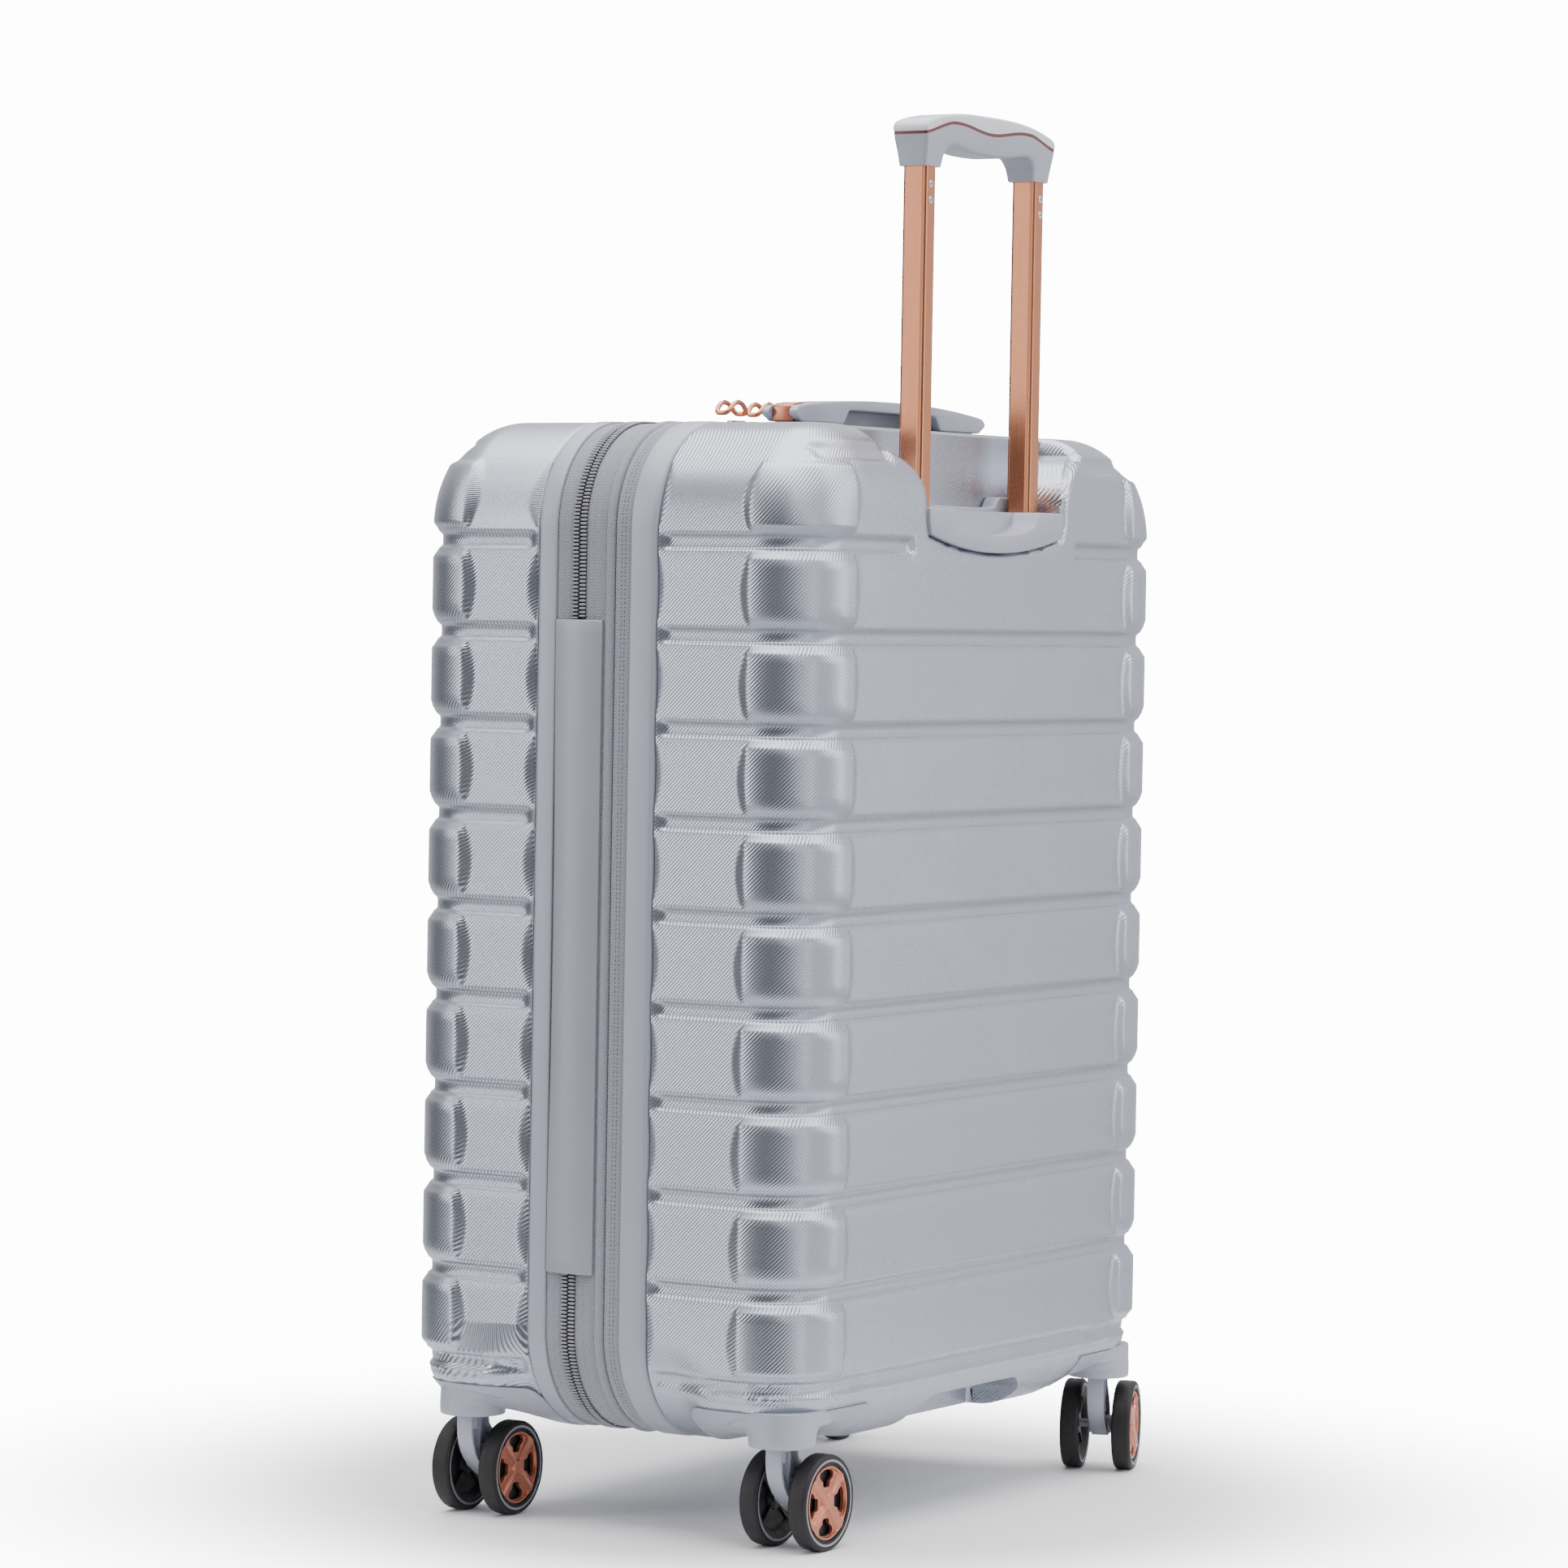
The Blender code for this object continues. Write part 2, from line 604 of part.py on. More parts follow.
def make_side_handle():
    """The same handle, half as tall, standing upright on the left side."""
    base_x = -HALF_W - GAP
    y, z = SIDE_HANDLE_Y, SIDE_HANDLE_Z
    plate = box((base_x - HANDLE_PLATE, y - PLATE_WIDE, z - PLATE_LONG),
                (base_x, y + PLATE_WIDE, z + PLATE_LONG))
    add("side_handle_base", plate, "trim")
    foot_x = base_x - HANDLE_PLATE - GAP
    outline = []
    for along, height in handle_outline(HANDLE_CROWN, HANDLE_FOOT, HANDLE_UNDER - 0.0004):
        outline.append((foot_x - (height - HANDLE_FOOT) * 0.5, z + along))
    add("side_handle_grip", prism(outline, "y", y - 0.012, y + 0.012), "trim")


# ---------------------------------------------------------------- zip sliders and lock

def slider_body(x):
    """A slider seen from the side: a flat foot and a bridge over the pull's pivot."""
    right = [(0.008, 0.0), (0.008, 0.0026), (0.0045, 0.0028), (0.0035, 0.0046)]
    outline = right + [(-u, rise) for u, rise in reversed(right)]
    return prism([(x + u, SLIDER_Z + rise) for u, rise in outline], "y", ZIP_Y - 0.0045, ZIP_Y + 0.0045)


def pull_loop(pivot_x, side, steps=8, wire_steps=5):
    """A loop pull arched over its slider: two rails of wire joined at both ends."""
    mesh = bmesh.new()
    rings = []
    for t in range(steps):
        angle = 2 * math.pi * t / steps
        along = 0.5 * PULL_LONG * (1 - math.cos(angle))
        across = PULL_WIDE * math.sin(angle)
        lift = PULL_ARCH * math.sin(math.pi * along / PULL_LONG)
        ring = []
        for i in range(wire_steps):
            turn = 2 * math.pi * i / wire_steps
            out = PULL_WIRE * math.cos(turn)
            ring.append(mesh.verts.new((
                pivot_x + side * (along - out * math.cos(angle)),
                ZIP_Y + across + out * math.sin(angle),
                PIVOT_Z + lift + PULL_WIRE * math.sin(turn),
            )))
        rings.append(ring)
    for i in range(steps):
        join_rings(mesh, rings[i], rings[(i + 1) % steps])
    return mesh


def make_zip_sliders():
    for name, x in SLIDERS_X.items():
        side = 1 if name == "right" else -1
        pivot = (x - side * PIVOT_BACK, ZIP_Y, PIVOT_Z)
        add(f"main_slider_{name}", slider_body(x), "rose", origin=(x, ZIP_Y, SLIDER_Z))
        add(f"main_pull_{name}", pull_loop(pivot[0], side), "rose", origin=pivot, smooth=True)
    x = -HALF_W + TAPE_INSET[0] - GAP
    y = 0.5 * (REAR_TAPE_Y[0] + REAR_TAPE_Y[1])
    z = EXPANSION_SLIDER_Z
    body = [(y - 0.004, z - 0.008), (y + 0.004, z - 0.008), (y + 0.004, z + 0.006), (y, z + 0.009),
            (y - 0.004, z + 0.006)]
    add("expansion_slider", prism(body, "x", x - 0.0045, x), "rose", origin=(x, y, z))


def make_lock():
    body = add("lock_body", box((LOCK_X[0], LOCK_Y[0], LOCK_Z[0]), (LOCK_X[1], LOCK_Y[1], LOCK_Z[1])), "trim")
    y = 0.5 * (LOCK_Y[0] + LOCK_Y[1])
    for i, x in enumerate(DIAL_X, start=1):
        slot = box((x - DIAL_HALF - GAP, y - DIAL_R - GAP, LOCK_Z[0] + 0.0004),
                   (x + DIAL_HALF + GAP, y + DIAL_R + GAP, 0.80))
        combine(body, helper(f"dial_slot_{i}", slot))
        dial = prism(circle((0.0, 0.0), DIAL_R, 10), "x", -DIAL_HALF, DIAL_HALF)
        bmesh.ops.translate(dial, verts=dial.verts, vec=(x, y, DIAL_Z))
        add(f"lock_dial_{i}", dial, "steel", origin=(x, y, DIAL_Z))
    floor = LOCK_Z[1] - 0.0010
    key = box((KEY_X[0], y - 0.004, floor), (KEY_X[1], y + 0.004, LOCK_Z[1] + 0.0016))
    add("lock_button", key, "rose", origin=(0.5 * (KEY_X[0] + KEY_X[1]), y, LOCK_Z[1]))
    track = box((KEY_X[0] - GAP, y - 0.004 - GAP, floor - GAP),
                (KEY_X[1] + KEY_TRAVEL + GAP, y + 0.004 + GAP, 0.80))
    combine(body, helper("lock_button_track", track))


# ---------------------------------------------------------------- casters

def housing_points(sx, sy, x, y):
    """The outside of a caster housing: a round cup that spreads to a winged corner block."""
    points = [(px, py, CUP_Z) for px, py in circle((x, y), CUP_R, 16)]
    points += [(px, py, CUP_Z + 0.0072) for px, py in circle((x, y), CUP_R + 0.0015, 16)]
    outer_x, outer_y, corner = 0.2470, Y_FACE - 0.0045, 0.043
    for z in (0.0850, 0.0945):
        for i in range(6):
            angle = math.radians(18 * i)
            px = outer_x - corner + corner * math.cos(angle)
            py = outer_y - corner + corner * math.sin(angle)
            points.append((sx * px, sy * py, z))
        points += [(sx * 0.140, sy * outer_y, z), (sx * outer_x, sy * 0.078, z)]
        points.append((sx * 0.165, sy * 0.095, z))
    return points


def fork_outline():
    """The arm between the wheels, from the swivel down and back to the axle."""
    radius = 0.0085
    end = [(-TRAIL + radius * math.cos(math.radians(a)), WHEEL_R + radius * math.sin(math.radians(a)))
           for a in (135, 180, 225, 270, 315, 0)]
    return [(0.0110, 0.0655), (-0.0110, 0.0655), (-0.0190, 0.0560)] + end + [(0.0020, 0.0440), (0.0105, 0.0570)]


def make_caster(name, x, y, yaw):
    sx, sy = (1 if x > 0 else -1), (1 if y > 0 else -1)
    shell = half_case(sy, -GAP, 0.003)
    housing = add(f"caster_housing_{name}", hull(housing_points(sx, sy, x, y)), "trim")
    combine(housing, helper(f"case_over_{name}", shell))
    bore = prism(circle((x, y), STEM_R + GAP, 12), "z", 0.05, STEM_TOP + 0.001)
    combine(housing, helper(f"stem_bore_{name}", bore))

    swivel = bpy.data.objects.new(f"caster_{name}", None)
    swivel.location = (x, y, 0.0)
    swivel.rotation_euler = (0.0, 0.0, math.radians(yaw))
    bpy.context.collection.objects.link(swivel)
    fork = add(f"fork_{name}", prism(fork_outline(), "y", -0.0060, 0.0060), "trim", parent=swivel)
    stem = prism(circle((0.0, 0.0), STEM_R, 12), "z", 0.060, STEM_TOP)
    combine(fork, helper(f"stem_{name}", stem, parent=swivel), "UNION")
    axle = prism(circle((-TRAIL, WHEEL_R), AXLE_R, 12), "y", -AXLE_HALF, AXLE_HALF)
    combine(fork, helper(f"axle_{name}", axle, parent=swivel), "UNION")
    for side, letter in ((1, "a"), (-1, "b")):
        make_wheel(name, letter, side, swivel)


def make_wheel(name, letter, side, swivel):
    half = TYRE_WIDE / 2
    tread = WHEEL_R / math.cos(math.pi / WHEEL_STEPS)
    middle = (-TRAIL, side * WHEEL_SPACING / 2, WHEEL_R)
    tyre = [(tread, -0.0040), (tread, 0.0040), (tread - 0.0022, half), (RIM_R + GAP, half),
            (RIM_R + GAP, -half), (tread - 0.0022, -half)]
    hub = [(RIM_R, -0.0058), (RIM_R, 0.0058), (AXLE_R + GAP, 0.0048), (AXLE_R + GAP, -0.0048)]
    add(f"tyre_{name}_{letter}", turned(tyre, WHEEL_STEPS), "tyre", origin=middle, parent=swivel, smooth=True)
    add(f"hub_{name}_{letter}", turned(hub, WHEEL_STEPS), "rose", origin=middle, parent=swivel, smooth=True)


def main():
    clear_scene()
    make_shells()
    make_strips()
    make_linings()
    make_trolley_housing()
    make_trolley_bezel()
    make_tubes()
    make_grip()
    make_release_linkage()
    make_top_handle()
    make_side_handle()
    make_zip_sliders()
    make_lock()
    for name, (x, y, yaw) in CASTERS.items():
        make_caster(name, x, y, yaw)


main()
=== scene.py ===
"""Looks of the hard shell spinner suitcase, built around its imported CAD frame.

Metres, +Z up, origin on the floor under the case. +Y is the back, with the telescopic handle, -Y the lid,
and +X the hinge side.
"""
import json
import math
import bmesh
import bpy
import numpy as np
from mathutils import Matrix, Vector


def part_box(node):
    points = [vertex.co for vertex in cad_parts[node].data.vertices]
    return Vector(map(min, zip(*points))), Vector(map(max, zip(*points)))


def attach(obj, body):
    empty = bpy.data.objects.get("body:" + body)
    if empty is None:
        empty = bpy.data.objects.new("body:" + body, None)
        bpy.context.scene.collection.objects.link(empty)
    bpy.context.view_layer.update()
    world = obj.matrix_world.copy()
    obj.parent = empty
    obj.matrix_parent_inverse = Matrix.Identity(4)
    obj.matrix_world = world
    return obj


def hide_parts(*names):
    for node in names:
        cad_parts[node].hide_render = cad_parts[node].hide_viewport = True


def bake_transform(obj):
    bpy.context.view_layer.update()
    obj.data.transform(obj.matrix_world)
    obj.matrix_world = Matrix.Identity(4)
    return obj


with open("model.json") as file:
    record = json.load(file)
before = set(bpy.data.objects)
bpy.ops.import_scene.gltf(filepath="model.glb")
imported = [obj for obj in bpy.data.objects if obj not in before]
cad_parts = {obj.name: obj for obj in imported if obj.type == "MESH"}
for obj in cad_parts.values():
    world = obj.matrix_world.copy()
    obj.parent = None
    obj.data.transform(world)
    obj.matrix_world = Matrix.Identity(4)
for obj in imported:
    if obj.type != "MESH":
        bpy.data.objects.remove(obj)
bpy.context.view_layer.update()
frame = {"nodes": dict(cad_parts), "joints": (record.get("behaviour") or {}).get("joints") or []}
NODES = frame["nodes"]
JOINTS = {joint["name"]: joint for joint in frame["joints"]}

# Main sizes, read from the frame
HALF_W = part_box("back_rim")[1].x
Z_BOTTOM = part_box("back_rim")[0].z
Z_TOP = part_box("back_rim")[1].z
Y_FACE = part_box("back_shell")[1].y
BACK_EDGE_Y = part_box("back_shell")[0].y
FRONT_EDGE_Y = -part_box("front_shell")[1].y
ZIP_Y = JOINTS["lid_hinge"]["pos_m"][1]

# Rounding of the case
R_CORNER = 0.075                # seen from the front
R_EDGE = 0.047                  # from the side walls into the front and back faces
CORNER_X = HALF_W - R_CORNER
CORNER_Z = (Z_BOTTOM + R_CORNER, Z_TOP - R_CORNER)
EDGE_Y = Y_FACE - R_EDGE
SHELL_LOW = 0.0007              # the shells lie this much lower than the rims
FOOT_Y = (0.060, 0.094)         # between these the lower corners grow squarer, to stand over the casters
FOOT_POWER = 0.45
FOOT_LIFT = 0.0100              # the underside rises this much over the casters

# Relief of the shells
GROOVE_TOP_Z = 0.7347
GROOVE_PITCH = 0.0625
GROOVE_COUNT = 11
GROOVE_DEPTH = 0.0034
GROOVE_FLAT = 0.0030            # half width of a groove's floor
GROOVE_HALF = 0.0068            # half width at its upper edges
RIB_TILT = 0.24                 # the sides of the ribs lean by this slope
RIB_PITCH = 0.00275             # the fine diagonal ribs, measured upright
PAD_HEIGHT = 0.0033
PAD_HALF = GROOVE_PITCH / 2 - 0.0065    # half height of a pad between two grooves
PAD_SIDE_Y = 0.1145             # straight edge of a corner pad on the side wall
PAD_SIDE_BOW = 0.0085
PAD_FACE_X = 0.1935             # straight edge of a corner pad on the face
PAD_FACE_BOW = 0.0075

# Trolley recess
RECESS_BACK_Y = 0.112
RECESS_HALF = 0.0945
RECESS_LOW_Z = (0.669, 0.6805)
RECESS_ROLL = 0.0050            # the shell rolls into the recess with this radius
POCKET_Y = 0.106                # back wall of the finger pocket under the case
POCKET_HALF = 0.075
POCKET_TOP_Z = 0.0895
WALL = 0.0026                   # material left round the recess and the pocket
WELL_X = (0.0650, 0.0870)       # the openings in the tray for the handle's tubes
WELL_Y = (0.1248, 0.1492)
CUT_END = 0.2                   # cutting tools reach this far, past the back face


# ---------------------------------------------------------------- mesh tools

def make(name, verts, faces, material, smooth=True, sharp=None):
    """A mesh object from lists of points and faces, with its normals pointing out."""
    data = bpy.data.meshes.new(name)
    data.from_pydata([tuple(map(float, v)) for v in verts], [], [tuple(map(int, f)) for f in faces])
    mesh = bmesh.new()
    mesh.from_mesh(data)
    bmesh.ops.remove_doubles(mesh, verts=mesh.verts, dist=1e-6)
    bmesh.ops.recalc_face_normals(mesh, faces=mesh.faces)
    mesh.to_mesh(data)
    mesh.free()
    piece = bpy.data.objects.new(name, data)
    bpy.context.scene.collection.objects.link(piece)
    if smooth:
        data.shade_smooth()
        if sharp:
            data.set_sharp_from_angle(angle=math.radians(sharp))
    data.materials.append(material)
    return piece


def settle(piece):
    """Apply a piece's modifiers to its mesh."""
    graph = bpy.context.evaluated_depsgraph_get()
    data = bpy.data.meshes.new_from_object(piece.evaluated_get(graph))
    piece.modifiers.clear()
    piece.data = data
    return piece


def discard(piece):
    data = piece.data
    bpy.data.objects.remove(piece, do_unlink=True)
    bpy.data.meshes.remove(data)


def carve(piece, *tools, operation="DIFFERENCE"):
    """Cut a piece with, or join it to, closed tool shapes, which are then removed."""
    for tool in tools:
        step = piece.modifiers.new("carve", "BOOLEAN")
        step.operation = operation
        step.solver = "EXACT"
        step.object = tool
    settle(piece)
    for tool in tools:
        discard(tool)
    return piece


def grid_faces(rows, columns, closed_rows=False, closed_columns=False):
    """Faces of a grid whose vertices are numbered row by row."""
    faces = []
    for i in range(rows if closed_rows else rows - 1):
        for j in range(columns if closed_columns else columns - 1):
            a, b = i * columns + j, i * columns + (j + 1) % columns
            c, d = ((i + 1) % rows) * columns + (j + 1) % columns, ((i + 1) % rows) * columns + j
            faces.append((a, b, c, d))
    return faces


def loft(name, rings, material, closed=False, sharp=None):
    """Rings of equally many points joined one to the next, with a cap at both ends unless they close up."""
    count = len(rings[0])
    verts = [point for ring in rings for point in ring]
    faces = grid_faces(len(rings), count, closed, True)
    if not closed:
        faces.append(tuple(range(count)))
        faces.append(tuple(range((len(rings) - 1) * count, len(rings) * count)))
    return make(name, verts, faces, material, sharp=sharp)


def place(axis, a, b, along):
    return {"x": (along, a, b), "y": (a, along, b), "z": (a, b, along)}[axis]


def prism(name, points, axis, low, high, material, bevel=0.0, segments=3, sharp=35):
    """An outline extruded along an axis, with rounded edges."""
    rings = [[place(axis, a, b, end) for a, b in points] for end in (low, high)]
    piece = loft(name, rings, material)
    if bevel:
        round_edges(piece, bevel, segments)
    return sharpen(piece, sharp)


def sharpen(piece, angle):
    """Smooth shading, except across edges that turn by more than an angle."""
    piece.data.shade_smooth()
    piece.data.set_sharp_from_angle(angle=math.radians(angle))
    return piece


def round_edges(piece, width, segments=3, angle=30):
    step = piece.modifiers.new("round", "BEVEL")
    step.width = width
    step.segments = segments
    step.limit_method = "ANGLE"
    step.angle_limit = math.radians(angle)
    step.use_clamp_overlap = True
    settle(piece)
    return piece


def ramp(value, low, high):
    """0 below low, 1 above high, smooth between; works on arrays."""
    t = np.clip((value - low) / (high - low), 0.0, 1.0)
    return t * t * (3 - 2 * t)


def arc_points(centre, radius, start, end, steps):
    found = []
    for i in range(steps + 1):
        angle = math.radians(start + (end - start) * i / steps)
        found.append((centre[0] + radius * math.cos(angle), centre[1] + radius * math.sin(angle)))
    return found


def circle(centre, radius):
    """A round outline of 24 points."""
    return arc_points(centre, radius, 0, 345, 23)


def rectangle(a0, a1, b0, b1):
    return [(a0, b0), (a1, b0), (a1, b1), (a0, b1)]


def round_box(a0, a1, b0, b1, corner, steps):
    """A rectangle with round corners."""
    points = []
    for a, b, start in ((a1 - corner, b1 - corner, 0), (a0 + corner, b1 - corner, 90),
                        (a0 + corner, b0 + corner, 180), (a1 - corner, b0 + corner, 270)):
        points += arc_points((a, b), corner, start, start + 90, steps)
    return points


def mirrored(points):
    """The right half of an outline, followed by its mirror image on the way back."""
    return points + [(-a, b) for a, b in reversed(points) if a > 0]


def circuit(steps):
    """The angles of a full turn."""
    return [2 * math.pi * i / steps for i in range(steps)]


def span_y(node):
    """Where a CAD node starts and ends along Y."""
    low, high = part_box(node)
    return low.y, high.y


def finish(piece, body, slot, *nodes):
    """Make a piece ride a body and stand for CAD nodes; the slot is not used."""
    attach(piece, body)
    if nodes:
        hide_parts(*nodes)
    return piece


# ---------------------------------------------------------------- materials

class Paint:
    """A material with a Principled shader, and short calls that add its nodes."""

    def __init__(self, name, colour, roughness, metallic=0.0, **values):
        self.material = bpy.data.materials.new(name)
        self.material.use_nodes = True
        self.tree = self.material.node_tree
        self.shader = self.tree.nodes["Principled BSDF"]
        self.put("Base Color", (*colour, 1.0))
        self.put("Roughness", roughness)
        self.put("Metallic", metallic)
        for socket, value in values.items():
            self.put(socket.replace("_", " "), value)
        self.height = None

    def put(self, socket, value):
        self.shader.inputs[socket].default_value = value

    def node(self, kind, settings=None, **inputs):
        made = self.tree.nodes.new(kind)
        for key, value in (settings or {}).items():
            setattr(made, key, value)
        for key, value in inputs.items():
            socket = made.inputs[int(key[1:])] if key[0] == "i" and key[1:].isdigit() else made.inputs[key]
            if isinstance(value, bpy.types.NodeSocket):
                self.tree.links.new(value, socket)
            else:
                socket.default_value = value
        return made

    def math(self, operation, a, b=0.0, c=0.0):
        return self.node("ShaderNodeMath", {"operation": operation}, i0=a, i1=b, i2=c).outputs[0]

    def axes(self):
        """The object's own x, y and z, in metres."""
        coordinates = self.node("ShaderNodeTexCoord").outputs["Object"]
        return self.node("ShaderNodeSeparateXYZ", Vector=coordinates).outputs

    def point(self):
        return self.node("ShaderNodeTexCoord").outputs["Object"]

    def noise(self, scale, detail=2.0, vector=None):
        made = self.node("ShaderNodeTexNoise", Scale=scale, Detail=detail, Roughness=0.5)
        self.tree.links.new(vector or self.point(), made.inputs["Vector"])
        return made.outputs["Fac"]

    def wave(self, value, pitch):
        """A sine of a length, from -1 to 1, repeating every pitch."""
        return self.math("SINE", self.math("MULTIPLY", value, 2 * math.pi / pitch))

    def span(self, value, low, high, out_low, out_high):
        made = self.node("ShaderNodeMapRange", {"clamp": True}, Value=value)
        for key, number in (("From Min", low), ("From Max", high), ("To Min", out_low), ("To Max", out_high)):
            made.inputs[key].default_value = number
        return made.outputs["Result"]

    def mix(self, factor, first, second):
        made = self.node("ShaderNodeMix", {"data_type": "RGBA"})
        for socket, value in ((made.inputs[0], factor), (made.inputs[6], first), (made.inputs[7], second)):
            if isinstance(value, bpy.types.NodeSocket):
                self.tree.links.new(value, socket)
            elif socket is made.inputs[0]:
                socket.default_value = value
            else:
                socket.default_value = (*value, 1.0)
        return made.outputs[2]

    def feed(self, socket, value):
        self.tree.links.new(value, self.shader.inputs[socket])
        return self

    def relief(self, height, distance):
        """Bump by a height from 0 to 1 that stands for this many metres; layers add up."""
        made = self.node("ShaderNodeBump", Height=height, Strength=1.0, Distance=distance)
        if self.height:
            self.tree.links.new(self.height, made.inputs["Normal"])
        self.height = made.outputs["Normal"]
        self.feed("Normal", self.height)
        return self


def shell_paint(name):
    paint = Paint(name, (0.41, 0.435, 0.50), 0.26, 0.80)
    rib = paint.node("ShaderNodeAttribute", {"attribute_name": "rib"}).outputs["Fac"]
    way = paint.node("ShaderNodeAttribute", {"attribute_name": "rib_way"}).outputs["Vector"]
    way = paint.node("ShaderNodeVectorTransform", {"vector_type": "VECTOR", "convert_from": "OBJECT",
                                                   "convert_to": "WORLD"}, Vector=way).outputs[0]
    tilt = paint.math("MULTIPLY", paint.wave(rib, RIB_PITCH), RIB_TILT)
    leaning = paint.node("ShaderNodeVectorMath", {"operation": "SCALE"}, i0=way, Scale=tilt).outputs[0]
    upright = paint.node("ShaderNodeNewGeometry").outputs["Normal"]
    leaning = paint.node("ShaderNodeVectorMath", {"operation": "ADD"}, i0=upright, i1=leaning).outputs[0]
    unit = paint.node("ShaderNodeVectorMath", {"operation": "NORMALIZE"}, i0=leaning).outputs[0]
    paint.feed("Normal", unit)
    speck = paint.span(paint.noise(900.0, 3.0), 0.35, 0.7, 0.0, 1.0)
    paint.feed("Base Color", paint.mix(speck, (0.395, 0.418, 0.482), (0.425, 0.448, 0.512)))
    cloud = paint.noise(9.0, 3.0)
    paint.feed("Roughness", paint.span(cloud, 0.3, 0.7, 0.24, 0.29))
    return paint.material


def trim_paint(name="moulded_grey", colour=(0.345, 0.36, 0.42)):
    paint = Paint(name, colour, 0.40, 0.10)
    grain = paint.noise(2600.0, 2.0)
    paint.relief(grain, 0.00004)
    cloud = paint.noise(14.0, 3.0)
    light = tuple(min(1.0, c * 1.05) for c in colour)
    paint.feed("Base Color", paint.mix(cloud, tuple(c * 0.96 for c in colour), light))
    paint.feed("Roughness", paint.span(cloud, 0.3, 0.7, 0.36, 0.44))
    return paint.material


def rubber_paint():
    paint = Paint("wheel_rubber", (0.014, 0.012, 0.013), 0.62, 0.0, Specular_IOR_Level=0.3)
    paint.relief(paint.noise(1500.0, 2.0), 0.00005)
    paint.feed("Roughness", paint.span(paint.noise(60.0, 3.0), 0.3, 0.7, 0.48, 0.62))
    return paint.material


def rose_metal_paint():
    """Brushed anodised tube, with fine lines along Z."""
    paint = Paint("rose_metal", (0.60, 0.24, 0.125), 0.20, 0.95)
    stretch = paint.node("ShaderNodeMapping", Vector=paint.point(), Scale=(3500.0, 3500.0, 20.0)).outputs[0]
    lines = paint.noise(1.0, 2.0, stretch)
    paint.feed("Roughness", paint.span(lines, 0.3, 0.7, 0.21, 0.29))
    return paint.material


def rose_paint(name, colour, roughness=0.26, metallic=0.75):
    paint = Paint(name, colour, roughness, metallic)
    cloud = paint.noise(120.0, 2.0)
    paint.feed("Roughness", paint.span(cloud, 0.3, 0.7, roughness - 0.04, roughness + 0.04))
    return paint.material


def plain_paint(name, colour, roughness, metallic=0.0):
    """An even material whose roughness wanders a little."""
    paint = Paint(name, colour, roughness, metallic)
    cloud = paint.noise(150.0, 3.0)
    paint.feed("Roughness", paint.span(cloud, 0.3, 0.7, roughness * 0.88, min(1.0, roughness * 1.12)))
    paint.relief(paint.noise(1800.0, 2.0), 0.00003)
    return paint.material


def woven_paint(name, colour, pitch=0.0021, column=0.0030, depth=0.00022, stitches=()):
    """Woven tape: slanted ribs that turn back in every column, with painted shade in the hollows between the
    ribs and painted highlight on their tops, and rows of dotted stitches.
    """
    paint = Paint(name, colour, 0.75, 0.0, Sheen_Weight=0.25)
    run = paint.node("ShaderNodeAttribute", {"attribute_name": "run"}).outputs["Fac"]
    y = paint.axes()["Y"]
    folded = paint.math("PINGPONG", y, column)
    height = paint.wave(paint.math("ADD", run, folded), pitch)
    paint.relief(height, depth)
    paint.relief(paint.noise(2500.0, 2.0), 0.00005)
    # The base colour follows the ribs' height: painted shade in the hollows, painted highlight on the ribs'
    # tops.
    light = tuple(c * 1.12 for c in colour)
    shade = paint.mix(paint.span(height, -1.0, 0.6, 0.0, 1.0), tuple(c * 0.70 for c in colour), light)
    for place_y in stitches:
        near = paint.math("LESS_THAN", paint.math("ABSOLUTE", paint.math("SUBTRACT", y, place_y)), 0.00042)
        dot = paint.math("MULTIPLY", near, paint.math("GREATER_THAN", paint.wave(run, 0.0030), 0.0))
        shade = paint.mix(dot, shade, tuple(c * 0.35 for c in colour))
    paint.feed("Base Color", shade)
    return paint.material


def cloth_paint(name, colour):
    paint = Paint(name, colour, 0.8, 0.0, Sheen_Weight=0.2)
    axes = paint.axes()
    weave = paint.math("MULTIPLY", paint.wave(axes["X"], 0.0011), paint.wave(axes["Z"], 0.0011))
    paint.relief(weave, 0.00012)
    fold = paint.noise(7.0, 2.0)
    paint.relief(fold, 0.004)
    paint.feed("Base Color", paint.mix(weave, tuple(c * 0.85 for c in colour), colour))
    return paint.material


SHELL = shell_paint("silver_shell")
TRIM = trim_paint()
COVER = trim_paint("pale_cover", (0.60, 0.64, 0.68))
DARK = plain_paint("shadow_gap", (0.012, 0.012, 0.014), 0.85)
# Black plastic of the wheel bodies; also painted shade in the rivets' holes and under the zip coil.
BLACK = plain_paint("black_plastic_and_shade", (0.004, 0.004, 0.005), 0.6)
RING = plain_paint("ring_grey", (0.22, 0.23, 0.26), 0.45)
RIVET = plain_paint("bright_metal", (0.78, 0.75, 0.68), 0.22, 1.0)
RUBBER = rubber_paint()
ROSE_METAL = rose_metal_paint()
ROSE_PAINT = rose_paint("rose_plastic", (0.46, 0.165, 0.10), 0.30)
ROSE_DARK = rose_paint("rose_inlay", (0.16, 0.045, 0.045), 0.28, 0.35)
COIL = trim_paint("zip_coil", (0.27, 0.27, 0.30))
CORD = woven_paint("piping_weave", (0.31, 0.32, 0.37), 0.0016, 0.0040, 0.00015)
TAPE = woven_paint("tape_weave", (0.30, 0.31, 0.36))
TAPE_STITCHED = woven_paint("tape_weave_stitched", (0.30, 0.31, 0.36), stitches=(0.0150, 0.0122))
SMOOTH_TAPE = trim_paint("hinge_cloth", (0.31, 0.325, 0.365))
GUSSET = cloth_paint("gusset_cloth", (0.10, 0.10, 0.11))
LINING = cloth_paint("lining_cloth", (0.20, 0.20, 0.215))
DIAL = plain_paint("dial_metal", (0.45, 0.45, 0.47), 0.3, 0.9)
INNER = plain_paint("inner_metal", (0.38, 0.38, 0.40), 0.35, 0.9)


# ---------------------------------------------------------------- shells

